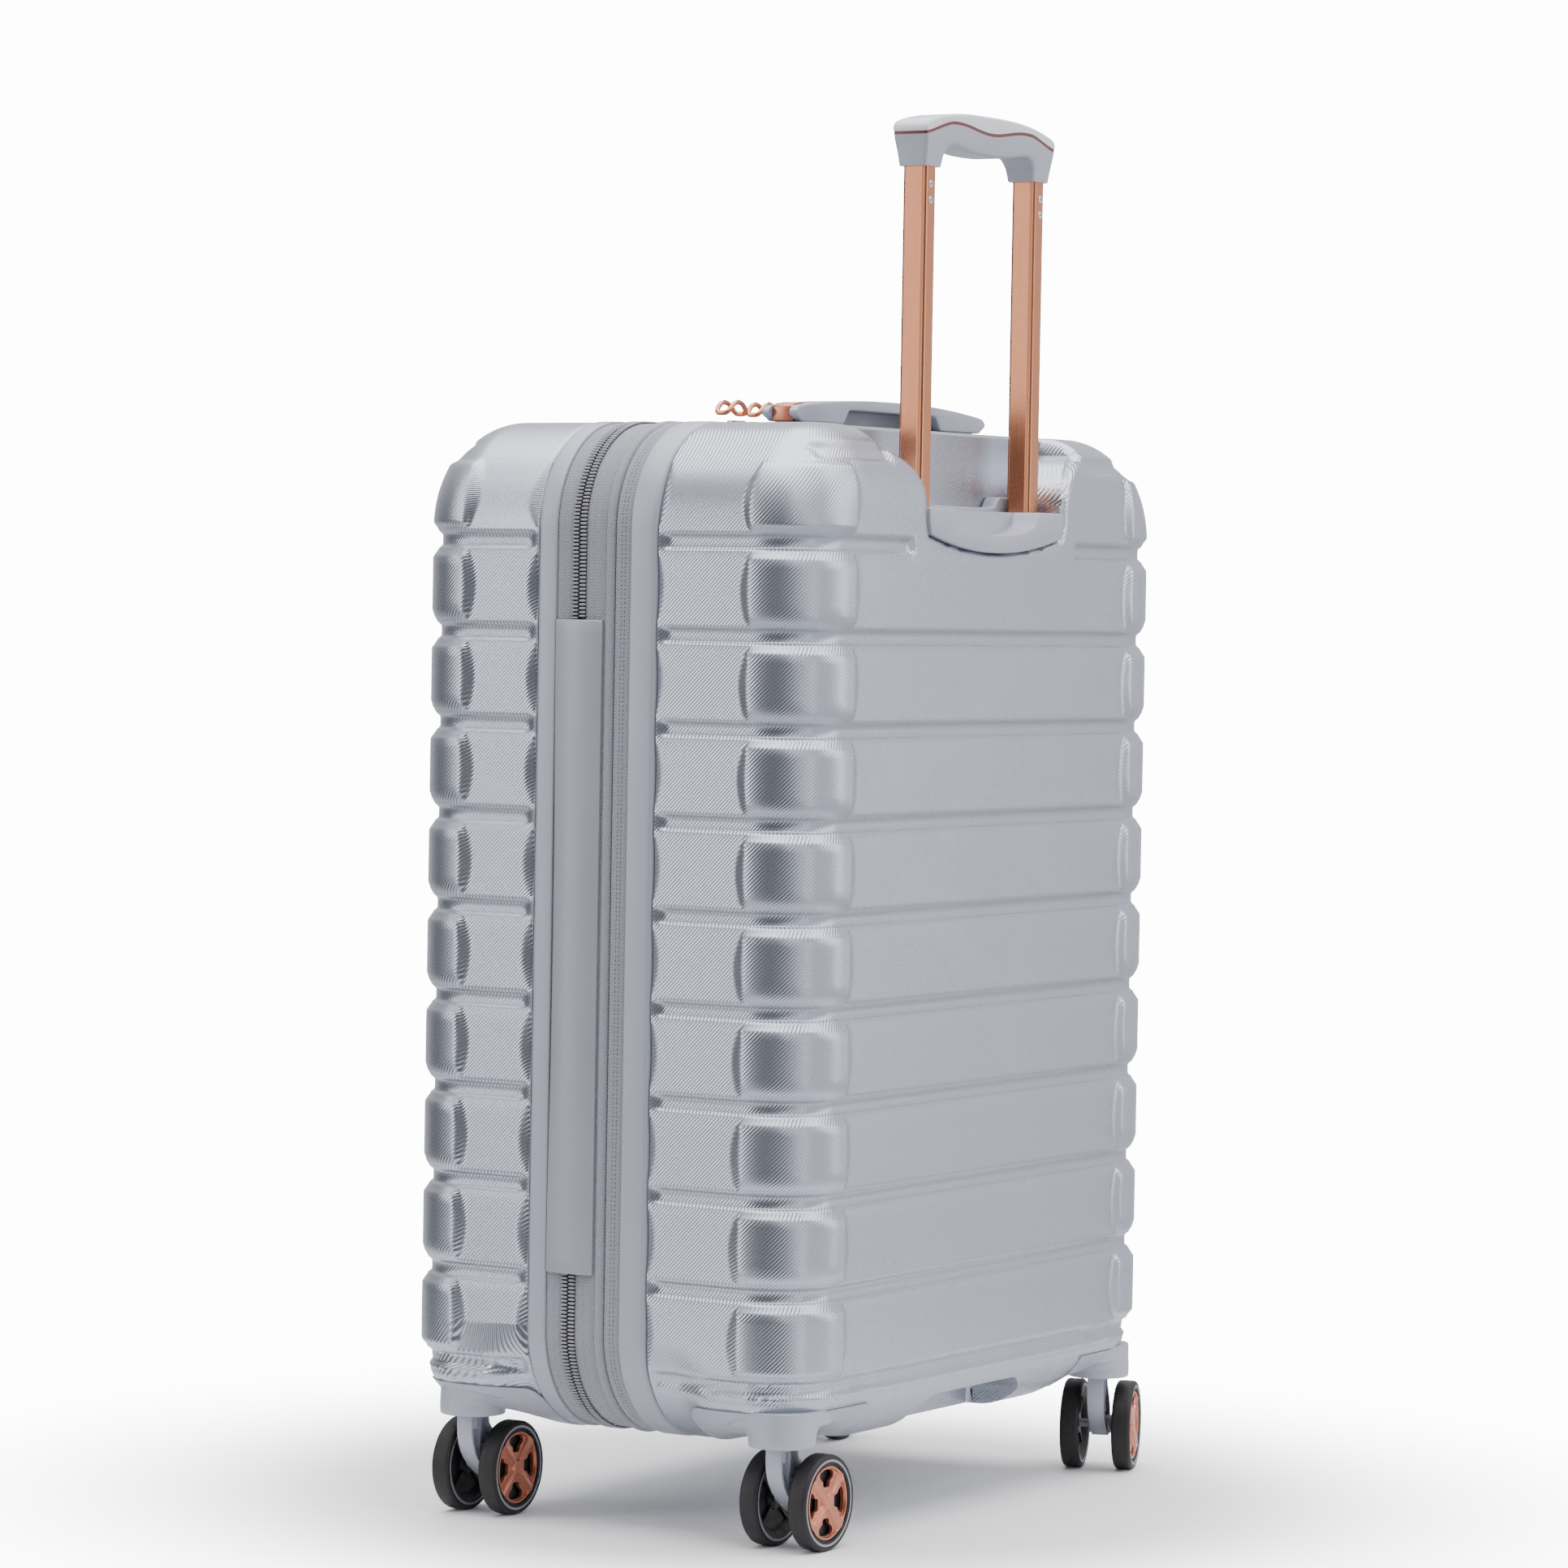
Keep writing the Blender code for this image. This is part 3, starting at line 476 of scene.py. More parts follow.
def outline():
    """Skeleton points and outward directions round the case, with rows of points beside every groove."""
    beside = (-0.0100, -0.0068, -0.0056, -0.0043, -0.0030, 0.0, 0.0030, 0.0043, 0.0056, 0.0068, 0.0095)
    heights = set()
    for k in range(GROOVE_COUNT):
        centre = GROOVE_TOP_Z - GROOVE_PITCH * k
        heights |= {round(centre + step, 5) for step in beside}
        heights |= {round(centre - GROOVE_PITCH * share, 5) for share in np.linspace(0.19, 0.86, 8)}
    low, high = CORNER_Z
    heights = [low] + sorted(z for z in heights if low + 0.001 < z < high - 0.001) + [high]
    across = list(np.linspace(CORNER_X, -CORNER_X, 141))
    arc = math.pi / 2 * np.linspace(0, 1, 58)[1:-1] ** 1.6
    centres, ways = [], []
    quarter = math.pi / 2

    def run(points, way):
        for point in points:
            centres.append(point)
            ways.append(way)

    def corner(x, z, start):
        """A corner's arc, with its points closer together by the upright wall, where a groove crosses it."""
        from_wall = abs(math.cos(start)) > 0.5
        for angle in (arc if from_wall else (quarter - arc)[::-1]):
            centres.append((x, z))
            ways.append((math.cos(start + angle), math.sin(start + angle)))

    run([(CORNER_X, z) for z in heights], (1.0, 0.0))
    corner(CORNER_X, high, 0.0)
    run([(x, high) for x in across], (0.0, 1.0))
    corner(-CORNER_X, high, quarter)
    run([(-CORNER_X, z) for z in reversed(heights)], (-1.0, 0.0))
    corner(-CORNER_X, low, 2 * quarter)
    run([(x, low) for x in reversed(across)], (0.0, -1.0))
    corner(CORNER_X, low, 3 * quarter)
    return np.array(centres), np.array(ways), np.array(heights), np.array(across)


def spread(centres, ways, inset, y):
    """X and z of points round the case; its lower corners are squarer near the faces, over the casters."""
    foot = ramp(np.abs(y), *FOOT_Y)
    power = 1 - FOOT_POWER * foot * (ways[..., 1] < 0)
    reach = R_CORNER - inset
    x = centres[..., 0] + reach * np.sign(ways[..., 0]) * np.abs(ways[..., 0]) ** power
    z = centres[..., 1] + reach * np.sign(ways[..., 1]) * np.abs(ways[..., 1]) ** power
    drop = np.maximum(CORNER_Z[0] - z, 0.0) / R_CORNER
    return x, z + FOOT_LIFT * foot * ramp(np.abs(x), 0.120, 0.185) * drop ** 2


def section(edge_y):
    """From the rim round into the face: inset, distance from the middle and slope."""
    side = [edge_y + step for step in (0.0, 0.0012, 0.0025, 0.004, 0.006, 0.008, 0.0105, 0.014)]
    side += list(np.linspace(edge_y + 0.019, 0.098, 10))
    side += list(np.linspace(0.1010, EDGE_Y, 9)[:-1])
    rows = [(0.0, y, 0.0) for y in side]
    for angle in np.radians(np.linspace(0, 90, 37)):
        inset = R_EDGE * (1 - math.cos(angle))
        rows.append((inset, EDGE_Y + R_EDGE * math.sin(angle), angle))
    for inset in np.linspace(R_EDGE, R_CORNER, 15)[1:]:
        rows.append((inset, Y_FACE, math.pi / 2))
    return np.array(rows)


def recess_outline(grow=0.0):
    """The trolley recess seen from behind: a curved floor, upright sides and a flare to the top edge."""
    low, corner = RECESS_LOW_Z
    right = []
    for i in range(9):
        share = i / 8
        right.append(((RECESS_HALF - 0.003) * share, low - grow + (corner - low) * share ** 2))
    right.append((RECESS_HALF + grow, 0.690))
    flare = 0.045
    for i in range(13):
        angle = math.radians(68 * i / 12)
        x = RECESS_HALF + flare * (1 - math.cos(angle)) * 1.6 + grow
        right.append((x, 0.700 + flare * math.sin(angle) - grow * 0.5))
    right.append((right[-1][0] + 0.010, Z_TOP + 0.045))
    return mirrored(right)


def outside_distance(x, z, points):
    """Distance of points from a closed outline, negative inside it."""
    best = np.full(x.shape, 1e9)
    inside = np.zeros(x.shape, bool)
    for (x0, z0), (x1, z1) in zip(points, points[1:] + points[:1]):
        dx, dz = x1 - x0, z1 - z0
        t = np.clip(((x - x0) * dx + (z - z0) * dz) / (dx * dx + dz * dz), 0, 1)
        best = np.minimum(best, np.hypot(x - x0 - t * dx, z - z0 - t * dz))
        crosses = (z0 > z) != (z1 > z)
        edge_x = x0 + (z - z0) * dx / (dz if abs(dz) > 1e-12 else 1e-12)
        inside ^= crosses & (x < edge_x)
    return np.where(inside, -best, best)


def relief(x, y, z, edge_y, back):
    """How far the skin is pressed in or raised at points of a half shell; y counts from the middle."""
    wide = np.abs(x)
    height = np.full(x.shape, -SHELL_LOW)
    scoop_deep, scoop_wide = (0.0018, 0.0060) if back else (0.0034, 0.0085)
    from_rim = y - edge_y
    height -= 0.0013 * (1 - ramp(from_rim, -0.0004, 0.0014))
    for k in range(GROOVE_COUNT):
        centre = GROOVE_TOP_Z - GROOVE_PITCH * k
        depth = GROOVE_DEPTH * (1 - ramp(np.abs(z - centre), GROOVE_FLAT, GROOVE_HALF))
        depth = depth + 0.0004 * (1 - ramp(np.abs(z - centre + 0.0082), 0.0008, 0.0022))
        depth = depth * ramp(from_rim, 0.0005, 0.0095)
        if k == 0:
            depth = depth * (1 - ramp(wide, 0.210, 0.219)) * 0.75
            if back:
                depth = depth * ramp(wide, 0.1335, 0.1375)
        if k == 1 and back:
            depth = depth * np.where(y > EDGE_Y, ramp(wide, 0.1125, 0.1170), 1.0)
        height -= depth
        if k == GROOVE_COUNT - 1:
            continue
        middle = centre - GROOVE_PITCH / 2
        lens = np.clip(1 - ((z - middle) / PAD_HALF) ** 2, 0.0, 1.0)
        flat = ramp(PAD_HALF - np.abs(z - middle), 0.0, 0.0060)
        side_bow, face_bow = PAD_SIDE_BOW * lens + 1e-5, PAD_FACE_BOW * lens + 1e-5
        on_side = np.clip((y - (PAD_SIDE_Y - side_bow)) / side_bow, 0.0, 1.0)
        on_face = np.clip((wide - (PAD_FACE_X - face_bow)) / face_bow, 0.0, 1.0)
        height += PAD_HEIGHT * flat * on_side * on_face
        height -= scoop_deep * lens * np.clip(1 - from_rim / (scoop_wide * lens + 1e-5), 0.0, 1.0)
    if back:
        near = np.clip(RECESS_ROLL - outside_distance(x, z, recess_outline()), 0.0, RECESS_ROLL)
        roll = RECESS_ROLL - np.sqrt(RECESS_ROLL ** 2 - near ** 2)
        height -= roll * ramp(y, 0.106, 0.118)
    return height


def skin(edge_y, back):
    """Points and faces of one half shell's outer skin, and the numbers of the points on its open edge."""
    centres, ways, heights, across = outline()
    rows = section(edge_y)
    inset, y, slope = (rows[:, i][None, :] for i in range(3))
    ways = ways[:, None, :]
    y = np.broadcast_to(y, (len(centres), len(rows)))
    x, z = spread(centres[:, None, :], ways, inset, y)
    rise = relief(x, y, z, edge_y, back)
    px = x + rise * np.cos(slope) * ways[..., 0]
    pz = z + rise * np.cos(slope) * ways[..., 1]
    py = y + rise * np.sin(slope)
    verts = np.stack([px, py, pz], -1).reshape(-1, 3)
    faces = grid_faces(len(centres), len(rows), closed_rows=True)
    gx, gz = np.meshgrid(across, heights, indexing="ij")
    gy = Y_FACE + relief(gx, np.full(gx.shape, Y_FACE), gz, edge_y, back)
    start = len(verts)
    verts = np.concatenate([verts, np.stack([gx, gy, gz], -1).reshape(-1, 3)])
    faces += [tuple(start + i for i in face) for face in grid_faces(len(across), len(heights))]
    return verts, faces, [i * len(rows) for i in range(len(centres))]


def half_shell(name, edge_y, back):
    """One half case as a closed solid: the skin, closed across its open edge."""
    verts, faces, rim = skin(edge_y, back)
    if not back:
        verts = verts * np.array([-1.0, -1.0, 1.0])
    return make(name, verts, faces + [tuple(rim)], SHELL)


def rib_phase(x, y, z, edge_y):
    """Phase of the diagonal ribs, which run on round the corners into the face."""
    out_x, out_z = x - np.clip(x, -CORNER_X, CORNER_X), z - np.clip(z, *CORNER_Z)
    far = np.hypot(out_x, out_z)
    left = np.clip(np.abs(np.arctan2(out_z, out_x)) * 2 / math.pi - 1, 0.0, 1.0)
    bend = np.arctan2(np.maximum(y - EDGE_Y, 0.0), np.maximum(far - (R_CORNER - R_EDGE), 1e-6))
    length = np.minimum(y, EDGE_Y) - edge_y + R_EDGE * bend
    whole = EDGE_Y - edge_y + R_EDGE * math.pi / 2
    wrap = R_EDGE * (1 - np.cos(bend)) - length - R_EDGE + whole
    on_face = (far <= R_CORNER - R_EDGE) & (y > EDGE_Y)
    return x + z + np.where(on_face, 0.0, (1 - 2 * left) * wrap)


def store_ribs(piece, edge_y, turn):
    """Store the ribs' phase and the direction across them at every point of a shell."""
    count = len(piece.data.vertices)
    points, normals = np.empty(3 * count, np.float32), np.empty(3 * count, np.float32)
    piece.data.vertices.foreach_get("co", points)
    piece.data.vertices.foreach_get("normal", normals)
    mirror = np.array([turn, turn, 1.0])
    points = points.reshape(-1, 3).astype(float) * mirror
    normals = normals.reshape(-1, 3) * mirror
    phase = rib_phase(*points.T, edge_y)
    step = 1e-5
    ahead = [rib_phase(*(points + step * axis).T, edge_y) for axis in np.eye(3)]
    slope = np.stack([(value - phase) / step for value in ahead], -1)
    slope -= normals * np.sum(slope * normals, -1, keepdims=True)
    slope /= np.maximum(np.linalg.norm(slope, axis=1, keepdims=True), 0.5)
    way = (slope * mirror).reshape(-1).astype(np.float32)
    piece.data.attributes.new("rib", "FLOAT", "POINT").data.foreach_set("value", phase.astype(np.float32))
    piece.data.attributes.new("rib_way", "FLOAT_VECTOR", "POINT").data.foreach_set("vector", way)


def inner_core(name, edge_y, inset=0.0062, step=3):
    """A plain half case at an even distance inside the skin, or outside it when the inset is negative."""
    centres, ways, _, _ = outline()
    centres, ways = centres[::step], ways[::step]
    rings = [(inset, y) for y in (edge_y - 0.01, edge_y + 0.010, *np.linspace(0.058, EDGE_Y, 9))]
    for angle in np.radians((22.5, 45, 67.5, 90)):
        radius = R_EDGE - inset
        rings.append((inset + radius * (1 - math.cos(angle)), EDGE_Y + radius * math.sin(angle)))
    points = []
    for deep, y in rings:
        x, z = spread(centres, ways, deep, y)
        points.append([(a, y, b) for a, b in zip(x, z)])
    return loft(name, points, DARK)


def make_shells():
    back = half_shell("back_shell_skin", BACK_EDGE_Y, True)
    core = inner_core("core", BACK_EDGE_Y)
    wall = prism("wall", recess_outline(WALL), "y", RECESS_BACK_Y - WALL, CUT_END, DARK)
    pocket_wall = prism("pocket_wall", pocket_outline(WALL), "y", POCKET_Y - WALL, CUT_END, DARK)
    carve(core, wall, pocket_wall)
    recess = prism("recess", recess_outline(), "y", RECESS_BACK_Y, CUT_END, SHELL)
    pocket = prism("pocket", pocket_outline(0.0), "y", POCKET_Y, CUT_END, SHELL, 0.004, 4)
    carve(back, core, recess, pocket, *tube_wells())
    finish_shell(back, "back_case", "back_shell", BACK_EDGE_Y, 1.0)
    front = half_shell("front_shell_skin", FRONT_EDGE_Y, False)
    core = inner_core("core", FRONT_EDGE_Y)
    core.data.transform(Matrix.Diagonal((-1, -1, 1, 1)))
    carve(front, core)
    finish_shell(front, "lid", "front_shell", FRONT_EDGE_Y, -1.0)


def tube_wells():
    """Openings for the two tubes in the recess's floor."""
    wells = []
    for side in (1, -1):
        ends = sorted(side * x for x in WELL_X)
        wells.append(prism("well", rectangle(*ends, *WELL_Y), "z", 0.60, 0.80, TRIM, 0.002))
    return wells


def pocket_outline(grow):
    """The finger pocket under the back shell."""
    half, top = POCKET_HALF + grow, POCKET_TOP_Z + grow
    return [(-half, 0.05), (half, 0.05), (half, top - 0.0105), (half - 0.018, top), (0.018 - half, top),
            (-half, top - 0.0105)]


def finish_shell(piece, body, node, edge_y, turn):
    store_ribs(piece, edge_y, turn)
    finish(sharpen(piece, 38), body, "shell", node)


# ---------------------------------------------------------------- strips round the case

def stations(corner_steps=24, gap_z=None):
    """Corner centres and angles round the case; a gap is left out of the run, on the right side."""
    low, high = CORNER_Z
    run = []
    if gap_z:
        run += [(CORNER_X, z, 0.0) for z in np.linspace(gap_z[0], low, 3)[:-1]]
    for side, z, start in ((1, low, 0), (-1, low, -90), (-1, high, -180), (1, high, -270)):
        for i in range(corner_steps + 1):
            run.append((side * CORNER_X, z, math.radians(start - 90 * i / corner_steps)))
    if gap_z:
        run += [(CORNER_X, z, 0.0) for z in np.linspace(high, gap_z[1], 4)[1:]]
    return run


def strip(name, profile, material, run=None, closed=True, sharp=35):
    """A profile of (inset, y) points carried round the case."""
    rings = []
    for x, z, angle in run or stations():
        c, s = math.cos(angle), math.sin(angle)
        rings.append([(x + (R_CORNER - d) * c, y, z + (R_CORNER - d) * s) for d, y in profile])
    return loft(name, rings, material, closed=closed, sharp=sharp)


def rounded(d, low, high, thick, low_r, high_r, steps=5):
    """A strip's profile: a face at inset d between two places along Y, with rounded edges."""
    points = [(d + thick, low)]
    points += [(d + low_r - low_r * math.sin(a), low + low_r - low_r * math.cos(a))
               for a in np.radians(np.linspace(0, 90, steps))]
    points += [(d + high_r - high_r * math.cos(a), high - high_r + high_r * math.sin(a))
               for a in np.radians(np.linspace(0, 90, steps))]
    points.append((d + thick, high))
    return points


def make_rims():
    """The moulded frames round the edges of the two halves."""
    for node, body, edges in (("back_rim", "back_case", (0.0008, 0.0040)),
                              ("front_rim", "lid", (0.0030, 0.0010))):
        rim = strip(f"{node}_moulding", rounded(0.0, *span_y(node), 0.006, *edges), TRIM)
        finish(rim, body, "trim", node)


# ---------------------------------------------------------------- casters

WHEEL_R = 0.0325
RIM_R = 0.0262
HUB_R = 0.0249
AXLE_X = -0.020                 # the axle trails the stem by this much
CUP_R = 0.0225                  # the round cup of a housing, over the stem
CUP_Z = 0.0708
CUP_WALL_TOP = CUP_Z + 0.0040
HOUSING_TOP = 0.0950
WING_Z = 0.0938                 # upper edge of a housing's wings
WING_R = 0.0125                 # rounding of their upper corners
STEM_X = 0.2209


def turned(name, profile, material, steps=72):
    """A closed (radius, y) profile turned about the y axis."""
    rings = [[(r * math.cos(a), y, r * math.sin(a)) for r, y in profile] for a in circuit(steps)]
    return loft(name, rings, material, closed=True, sharp=35)


def turned_disc(name, profile, material, steps=72):
    """An open (radius, y) profile that starts and ends on the y axis, turned about it."""
    verts = [(0.0, profile[0][1], 0.0), (0.0, profile[-1][1], 0.0)]
    middle = profile[1:-1]
    for angle in circuit(steps):
        verts += [(r * math.cos(angle), y, r * math.sin(angle)) for r, y in middle]
    count = len(middle)
    faces = []
    for i in range(steps):
        a, b = 2 + i * count, 2 + ((i + 1) % steps) * count
        faces.append((0, a, b))
        faces.append((1, b + count - 1, a + count - 1))
        faces += [(a + j, a + j + 1, b + j + 1, b + j) for j in range(count - 1)]
    return make(name, verts, faces, material, sharp=35)


def tyre_shape():
    half, shoulder = 0.007, 0.0026
    profile = arc_points((WHEEL_R - shoulder, half - shoulder), shoulder, 0, 90, 6)
    profile += [(0.0296, half), (0.0294, half - 0.0005), (0.0274, half - 0.0005), (0.0272, half - 0.0009),
                (RIM_R, half - 0.0012)]
    profile += [(r, -y) for r, y in reversed(profile)]
    return turned("tyre_shape", profile, RUBBER, 96)


def ring_shape():
    """The thin grey line let into both flanks of a tyre."""
    rings = []
    for face in (1, -1):
        low, edge, high = 0.0058 * face, 0.00655 * face, 0.00675 * face
        profile = [(0.0276, low), (0.0276, edge), (0.0278, high),
                   (0.0291, high), (0.0293, edge), (0.0293, low)]
        rings.append(turned("ring_shape", profile, RING, 96))
    return carve(rings[0], rings[1], operation="UNION")


def core_shape():
    """The black wheel body behind the hub's face."""
    edge = RIM_R - 0.0001
    profile = [(0, -0.0035), (0.0075, -0.0035), (0.0085, -0.0012), (0.0212, -0.0012), (0.0228, -0.0040),
               (0.0250, -0.0056), (edge, -0.0056), (edge, 0.0050), (0.0240, 0.0050), (0.0236, -0.0002),
               (0, -0.0002)]
    core = turned_disc("core_shape", profile, BLACK)
    for k in range(4):
        rib = prism("rib", rectangle(-0.0012, 0.0012, 0.006, 0.0225), "y", -0.0032, -0.0010, BLACK)
        rib.data.transform(Matrix.Rotation(math.radians(45 + 90 * k), 4, "Y"))
        carve(core, rib, operation="UNION")
    core.data.set_sharp_from_angle(angle=math.radians(35))
    return core


def hub_height(x, z):
    """Height of the hub's face over its lowest part: a rim lip, crossed spokes and a flat square centre."""
    r = np.hypot(x, z)
    lip = 0.0017 * (1 - ramp(np.abs(r - 0.0240), 0.0005, 0.0013))
    diagonal = np.minimum(np.abs(x - z), np.abs(x + z)) / math.sqrt(2)
    wide = 0.0024 + 0.10 * r
    spoke = 0.0018 * (1 - ramp(diagonal, wide - 0.0009, wide + 0.0006)) * ramp(r, 0.0040, 0.0060)
    spoke = spoke + 0.0006 * (1 - ramp(diagonal, 0.0008, 0.0016)) * ramp(r, 0.0055, 0.0075)
    square = 0.0021 * (1 - ramp(np.maximum(np.abs(x), np.abs(z)), 0.0044, 0.0054))
    return 0.0042 + np.maximum(np.maximum(lip, spoke), square)


def hub_shape():
    """The rose face of a wheel: a pressed disc with four notched openings."""
    radii = np.concatenate([np.linspace(0.0008, 0.0218, 27), np.linspace(0.0222, HUB_R, 10)])
    steps = 120
    angle = 2 * math.pi * np.arange(steps) / steps
    x, z = radii[:, None] * np.cos(angle), radii[:, None] * np.sin(angle)
    top = np.stack([x, hub_height(x, z), z], -1).reshape(-1, 3)
    low = np.stack([HUB_R * np.cos(angle), np.full(steps, 0.0018), HUB_R * np.sin(angle)], -1)
    verts = list(top) + list(low)
    faces = grid_faces(len(radii) + 1, steps, closed_columns=True)
    faces += [tuple(range(steps)), tuple(range(len(radii) * steps, (len(radii) + 1) * steps))]
    face = make("hub_shape", verts, faces, ROSE_PAINT, sharp=40)
    half = [(0.0, 0.0104), (0.0030, 0.0104), (0.0042, 0.0117), (0.0044, 0.0140), (0.0058, 0.0152),
            (0.0076, 0.0164), (0.0087, 0.0183), (0.0084, 0.0202), (0.0064, 0.0217), (0.0, 0.0226)]
    for k in range(4):
        hole = prism("hole", mirrored(half), "y", -0.01, 0.02, BLACK)
        hole.data.transform(Matrix.Rotation(math.radians(90 * k), 4, "Y"))
        carve(face, hole)
    return sharpen(face, 40)


def fork_outline(grow=0.0):
    """The arm seen from the side, from the swivel down and back to the axle; x counts from the stem."""
    outer = [(0.0106, 0.0700), (0.0108, 0.0640), (0.0104, 0.0570), (0.0090, 0.0510), (0.0063, 0.0450),
             (0.0022, 0.0392), (-0.0030, 0.0341), (-0.0085, 0.0299), (-0.0130, 0.0268)]
    end = arc_points((AXLE_X, WHEEL_R), 0.0085, -40, -190, 10)
    inner = [(-0.0280, 0.0372), (-0.0262, 0.0440), (-0.0225, 0.0510), (-0.0180, 0.0570), (-0.0125, 0.0630),
             (-0.0110, 0.0700)]
    middle = Vector((-0.004, 0.046))
    points = [Vector(point) for point in outer + end + inner]
    return [tuple(point + (point - middle).normalized() * grow) for point in points]


def fork_shape():
    """The hollowed arm with its bosses, stem and axle."""
    fork = prism("fork_shape", fork_outline(), "y", -0.0060, 0.0060, TRIM, 0.0008, 3)
    for face in (1, -1):
        low, high = sorted((0.0018 * face, 0.0090 * face))
        hollow = prism("hollow", fork_outline(-0.0026), "y", low, high, TRIM)
        rib = prism("rib", rectangle(-0.0012, 0.0004, 0.030, 0.070), "y", low - 0.01, high, TRIM)
        carve(hollow, rib)
        carve(fork, hollow)
        bosses = []
        for centre, radius, end in (((-0.0075, 0.0455), 0.0031, 0.0052), ((AXLE_X, WHEEL_R), 0.0068, 0.0075)):
            ends = sorted((0.0015 * face, end * face))
            bosses.append(prism("boss", circle(centre, radius), "y", *ends, TRIM))
        carve(fork, *bosses, operation="UNION")
    stem = prism("stem", circle((0, 0), 0.004), "z", 0.060, 0.0745, TRIM)
    axle = prism("axle", circle((AXLE_X, WHEEL_R), 0.003), "y", -0.0192, 0.0192, TRIM)
    carve(fork, stem, axle, operation="UNION")
    return sharpen(fork, 35)


def housing_reach(x0, y0, angles):
    """How far a housing's body spreads from the stem in each direction; it dies away along both walls."""
    outer_x, outer_y, corner = x0 + 0.0228, y0 + 0.0222, 0.0224
    fade = np.linspace(0.0, 1.0, 15)
    block = [(x0 - 0.056 * t, outer_y - 0.034 * t ** 4.5) for t in fade[::-1]]
    side = [(outer_x - 0.034 * t ** 4.5, y0 - 0.052 * t) for t in fade]
    round_corner = arc_points((outer_x - corner, outer_y - corner), corner, 90, 0, 16)
    block = block + round_corner + side + [(x0 - 0.045, y0 - 0.042)]
    found = []
    for angle in angles:
        way = np.array((math.cos(angle), math.sin(angle)))
        best = 0.0
        for (ax, ay), (bx, by) in zip(block, block[1:] + block[:1]):
            cross = way[0] * (by - ay) - way[1] * (bx - ax)
            if abs(cross) < 1e-12:
                continue
            t = ((ax - x0) * (by - ay) - (ay - y0) * (bx - ax)) / cross
            s = ((ax - x0) * way[1] - (ay - y0) * way[0]) / cross
            if t > 0 and -1e-9 <= s <= 1 + 1e-9:
                best = max(best, t)
        found.append(best)
    return np.array(found)


def housing_body(x0, y0):
    """The round cup over a stem, flaring up into a block as wide as the case's corner."""
    angles = np.radians(np.arange(0, 360, 5))
    reach = housing_reach(x0, y0, angles)
    levels = [(CUP_Z, CUP_R - 0.0009), (CUP_Z + 0.0003, CUP_R - 0.0003), (CUP_Z + 0.0009, CUP_R),
              (CUP_WALL_TOP, CUP_R + 0.0003)]
    for share in np.linspace(0.1, 1.0, 10):
        flare = 1 - math.sqrt(1 - share ** 2)
        levels.append((CUP_WALL_TOP + 0.0100 * share ** 0.9, (CUP_R + 0.0003) * (1 - flare) + reach * flare))
    levels += [(0.0870, reach), (HOUSING_TOP - 0.0006, reach), (HOUSING_TOP, reach - 0.0006),
               (HOUSING_TOP, reach * 0.8)]
    rings = []
    for z, radius in levels:
        radius = np.broadcast_to(radius, angles.shape)
        rings.append([(x0 + r * math.cos(a), y0 + r * math.sin(a), z) for a, r in zip(angles, radius)])
    return loft("bulge", rings, TRIM, sharp=50)


def housing_shape(x0, y0):
    """A right-hand housing: two rounded wings on the case and the cup's body."""
    body = housing_body(x0, y0)
    wing_ends = {"y": 0.1480, "x": y0 - 0.0657}
    for axis, end in wing_ends.items():
        points = [(0.300, WING_Z)] + arc_points((end + WING_R, WING_Z - WING_R), WING_R, 90, 180, 8)
        points += [(end, 0.050), (0.300, 0.050)]
        wing = prism("wing", points, axis, 0.105 if axis == "y" else 0.150, 0.300, TRIM)
        case = inner_core("case_over", BACK_EDGE_Y, -0.0008, 1)
        carve(wing, case, operation="INTERSECT")
        carve(body, wing, operation="UNION")
    return sharpen(body, 32)


def copied(shape, name, matrix, body, slot, *nodes):
    """A copy of a shape's mesh, put in place and made to ride a body."""
    piece = bpy.data.objects.new(name, shape.data.copy())
    piece.data.transform(matrix)
    if matrix.determinant() < 0:
        piece.data.flip_normals()
    bpy.context.scene.collection.objects.link(piece)
    return finish(piece, body, slot, *nodes)


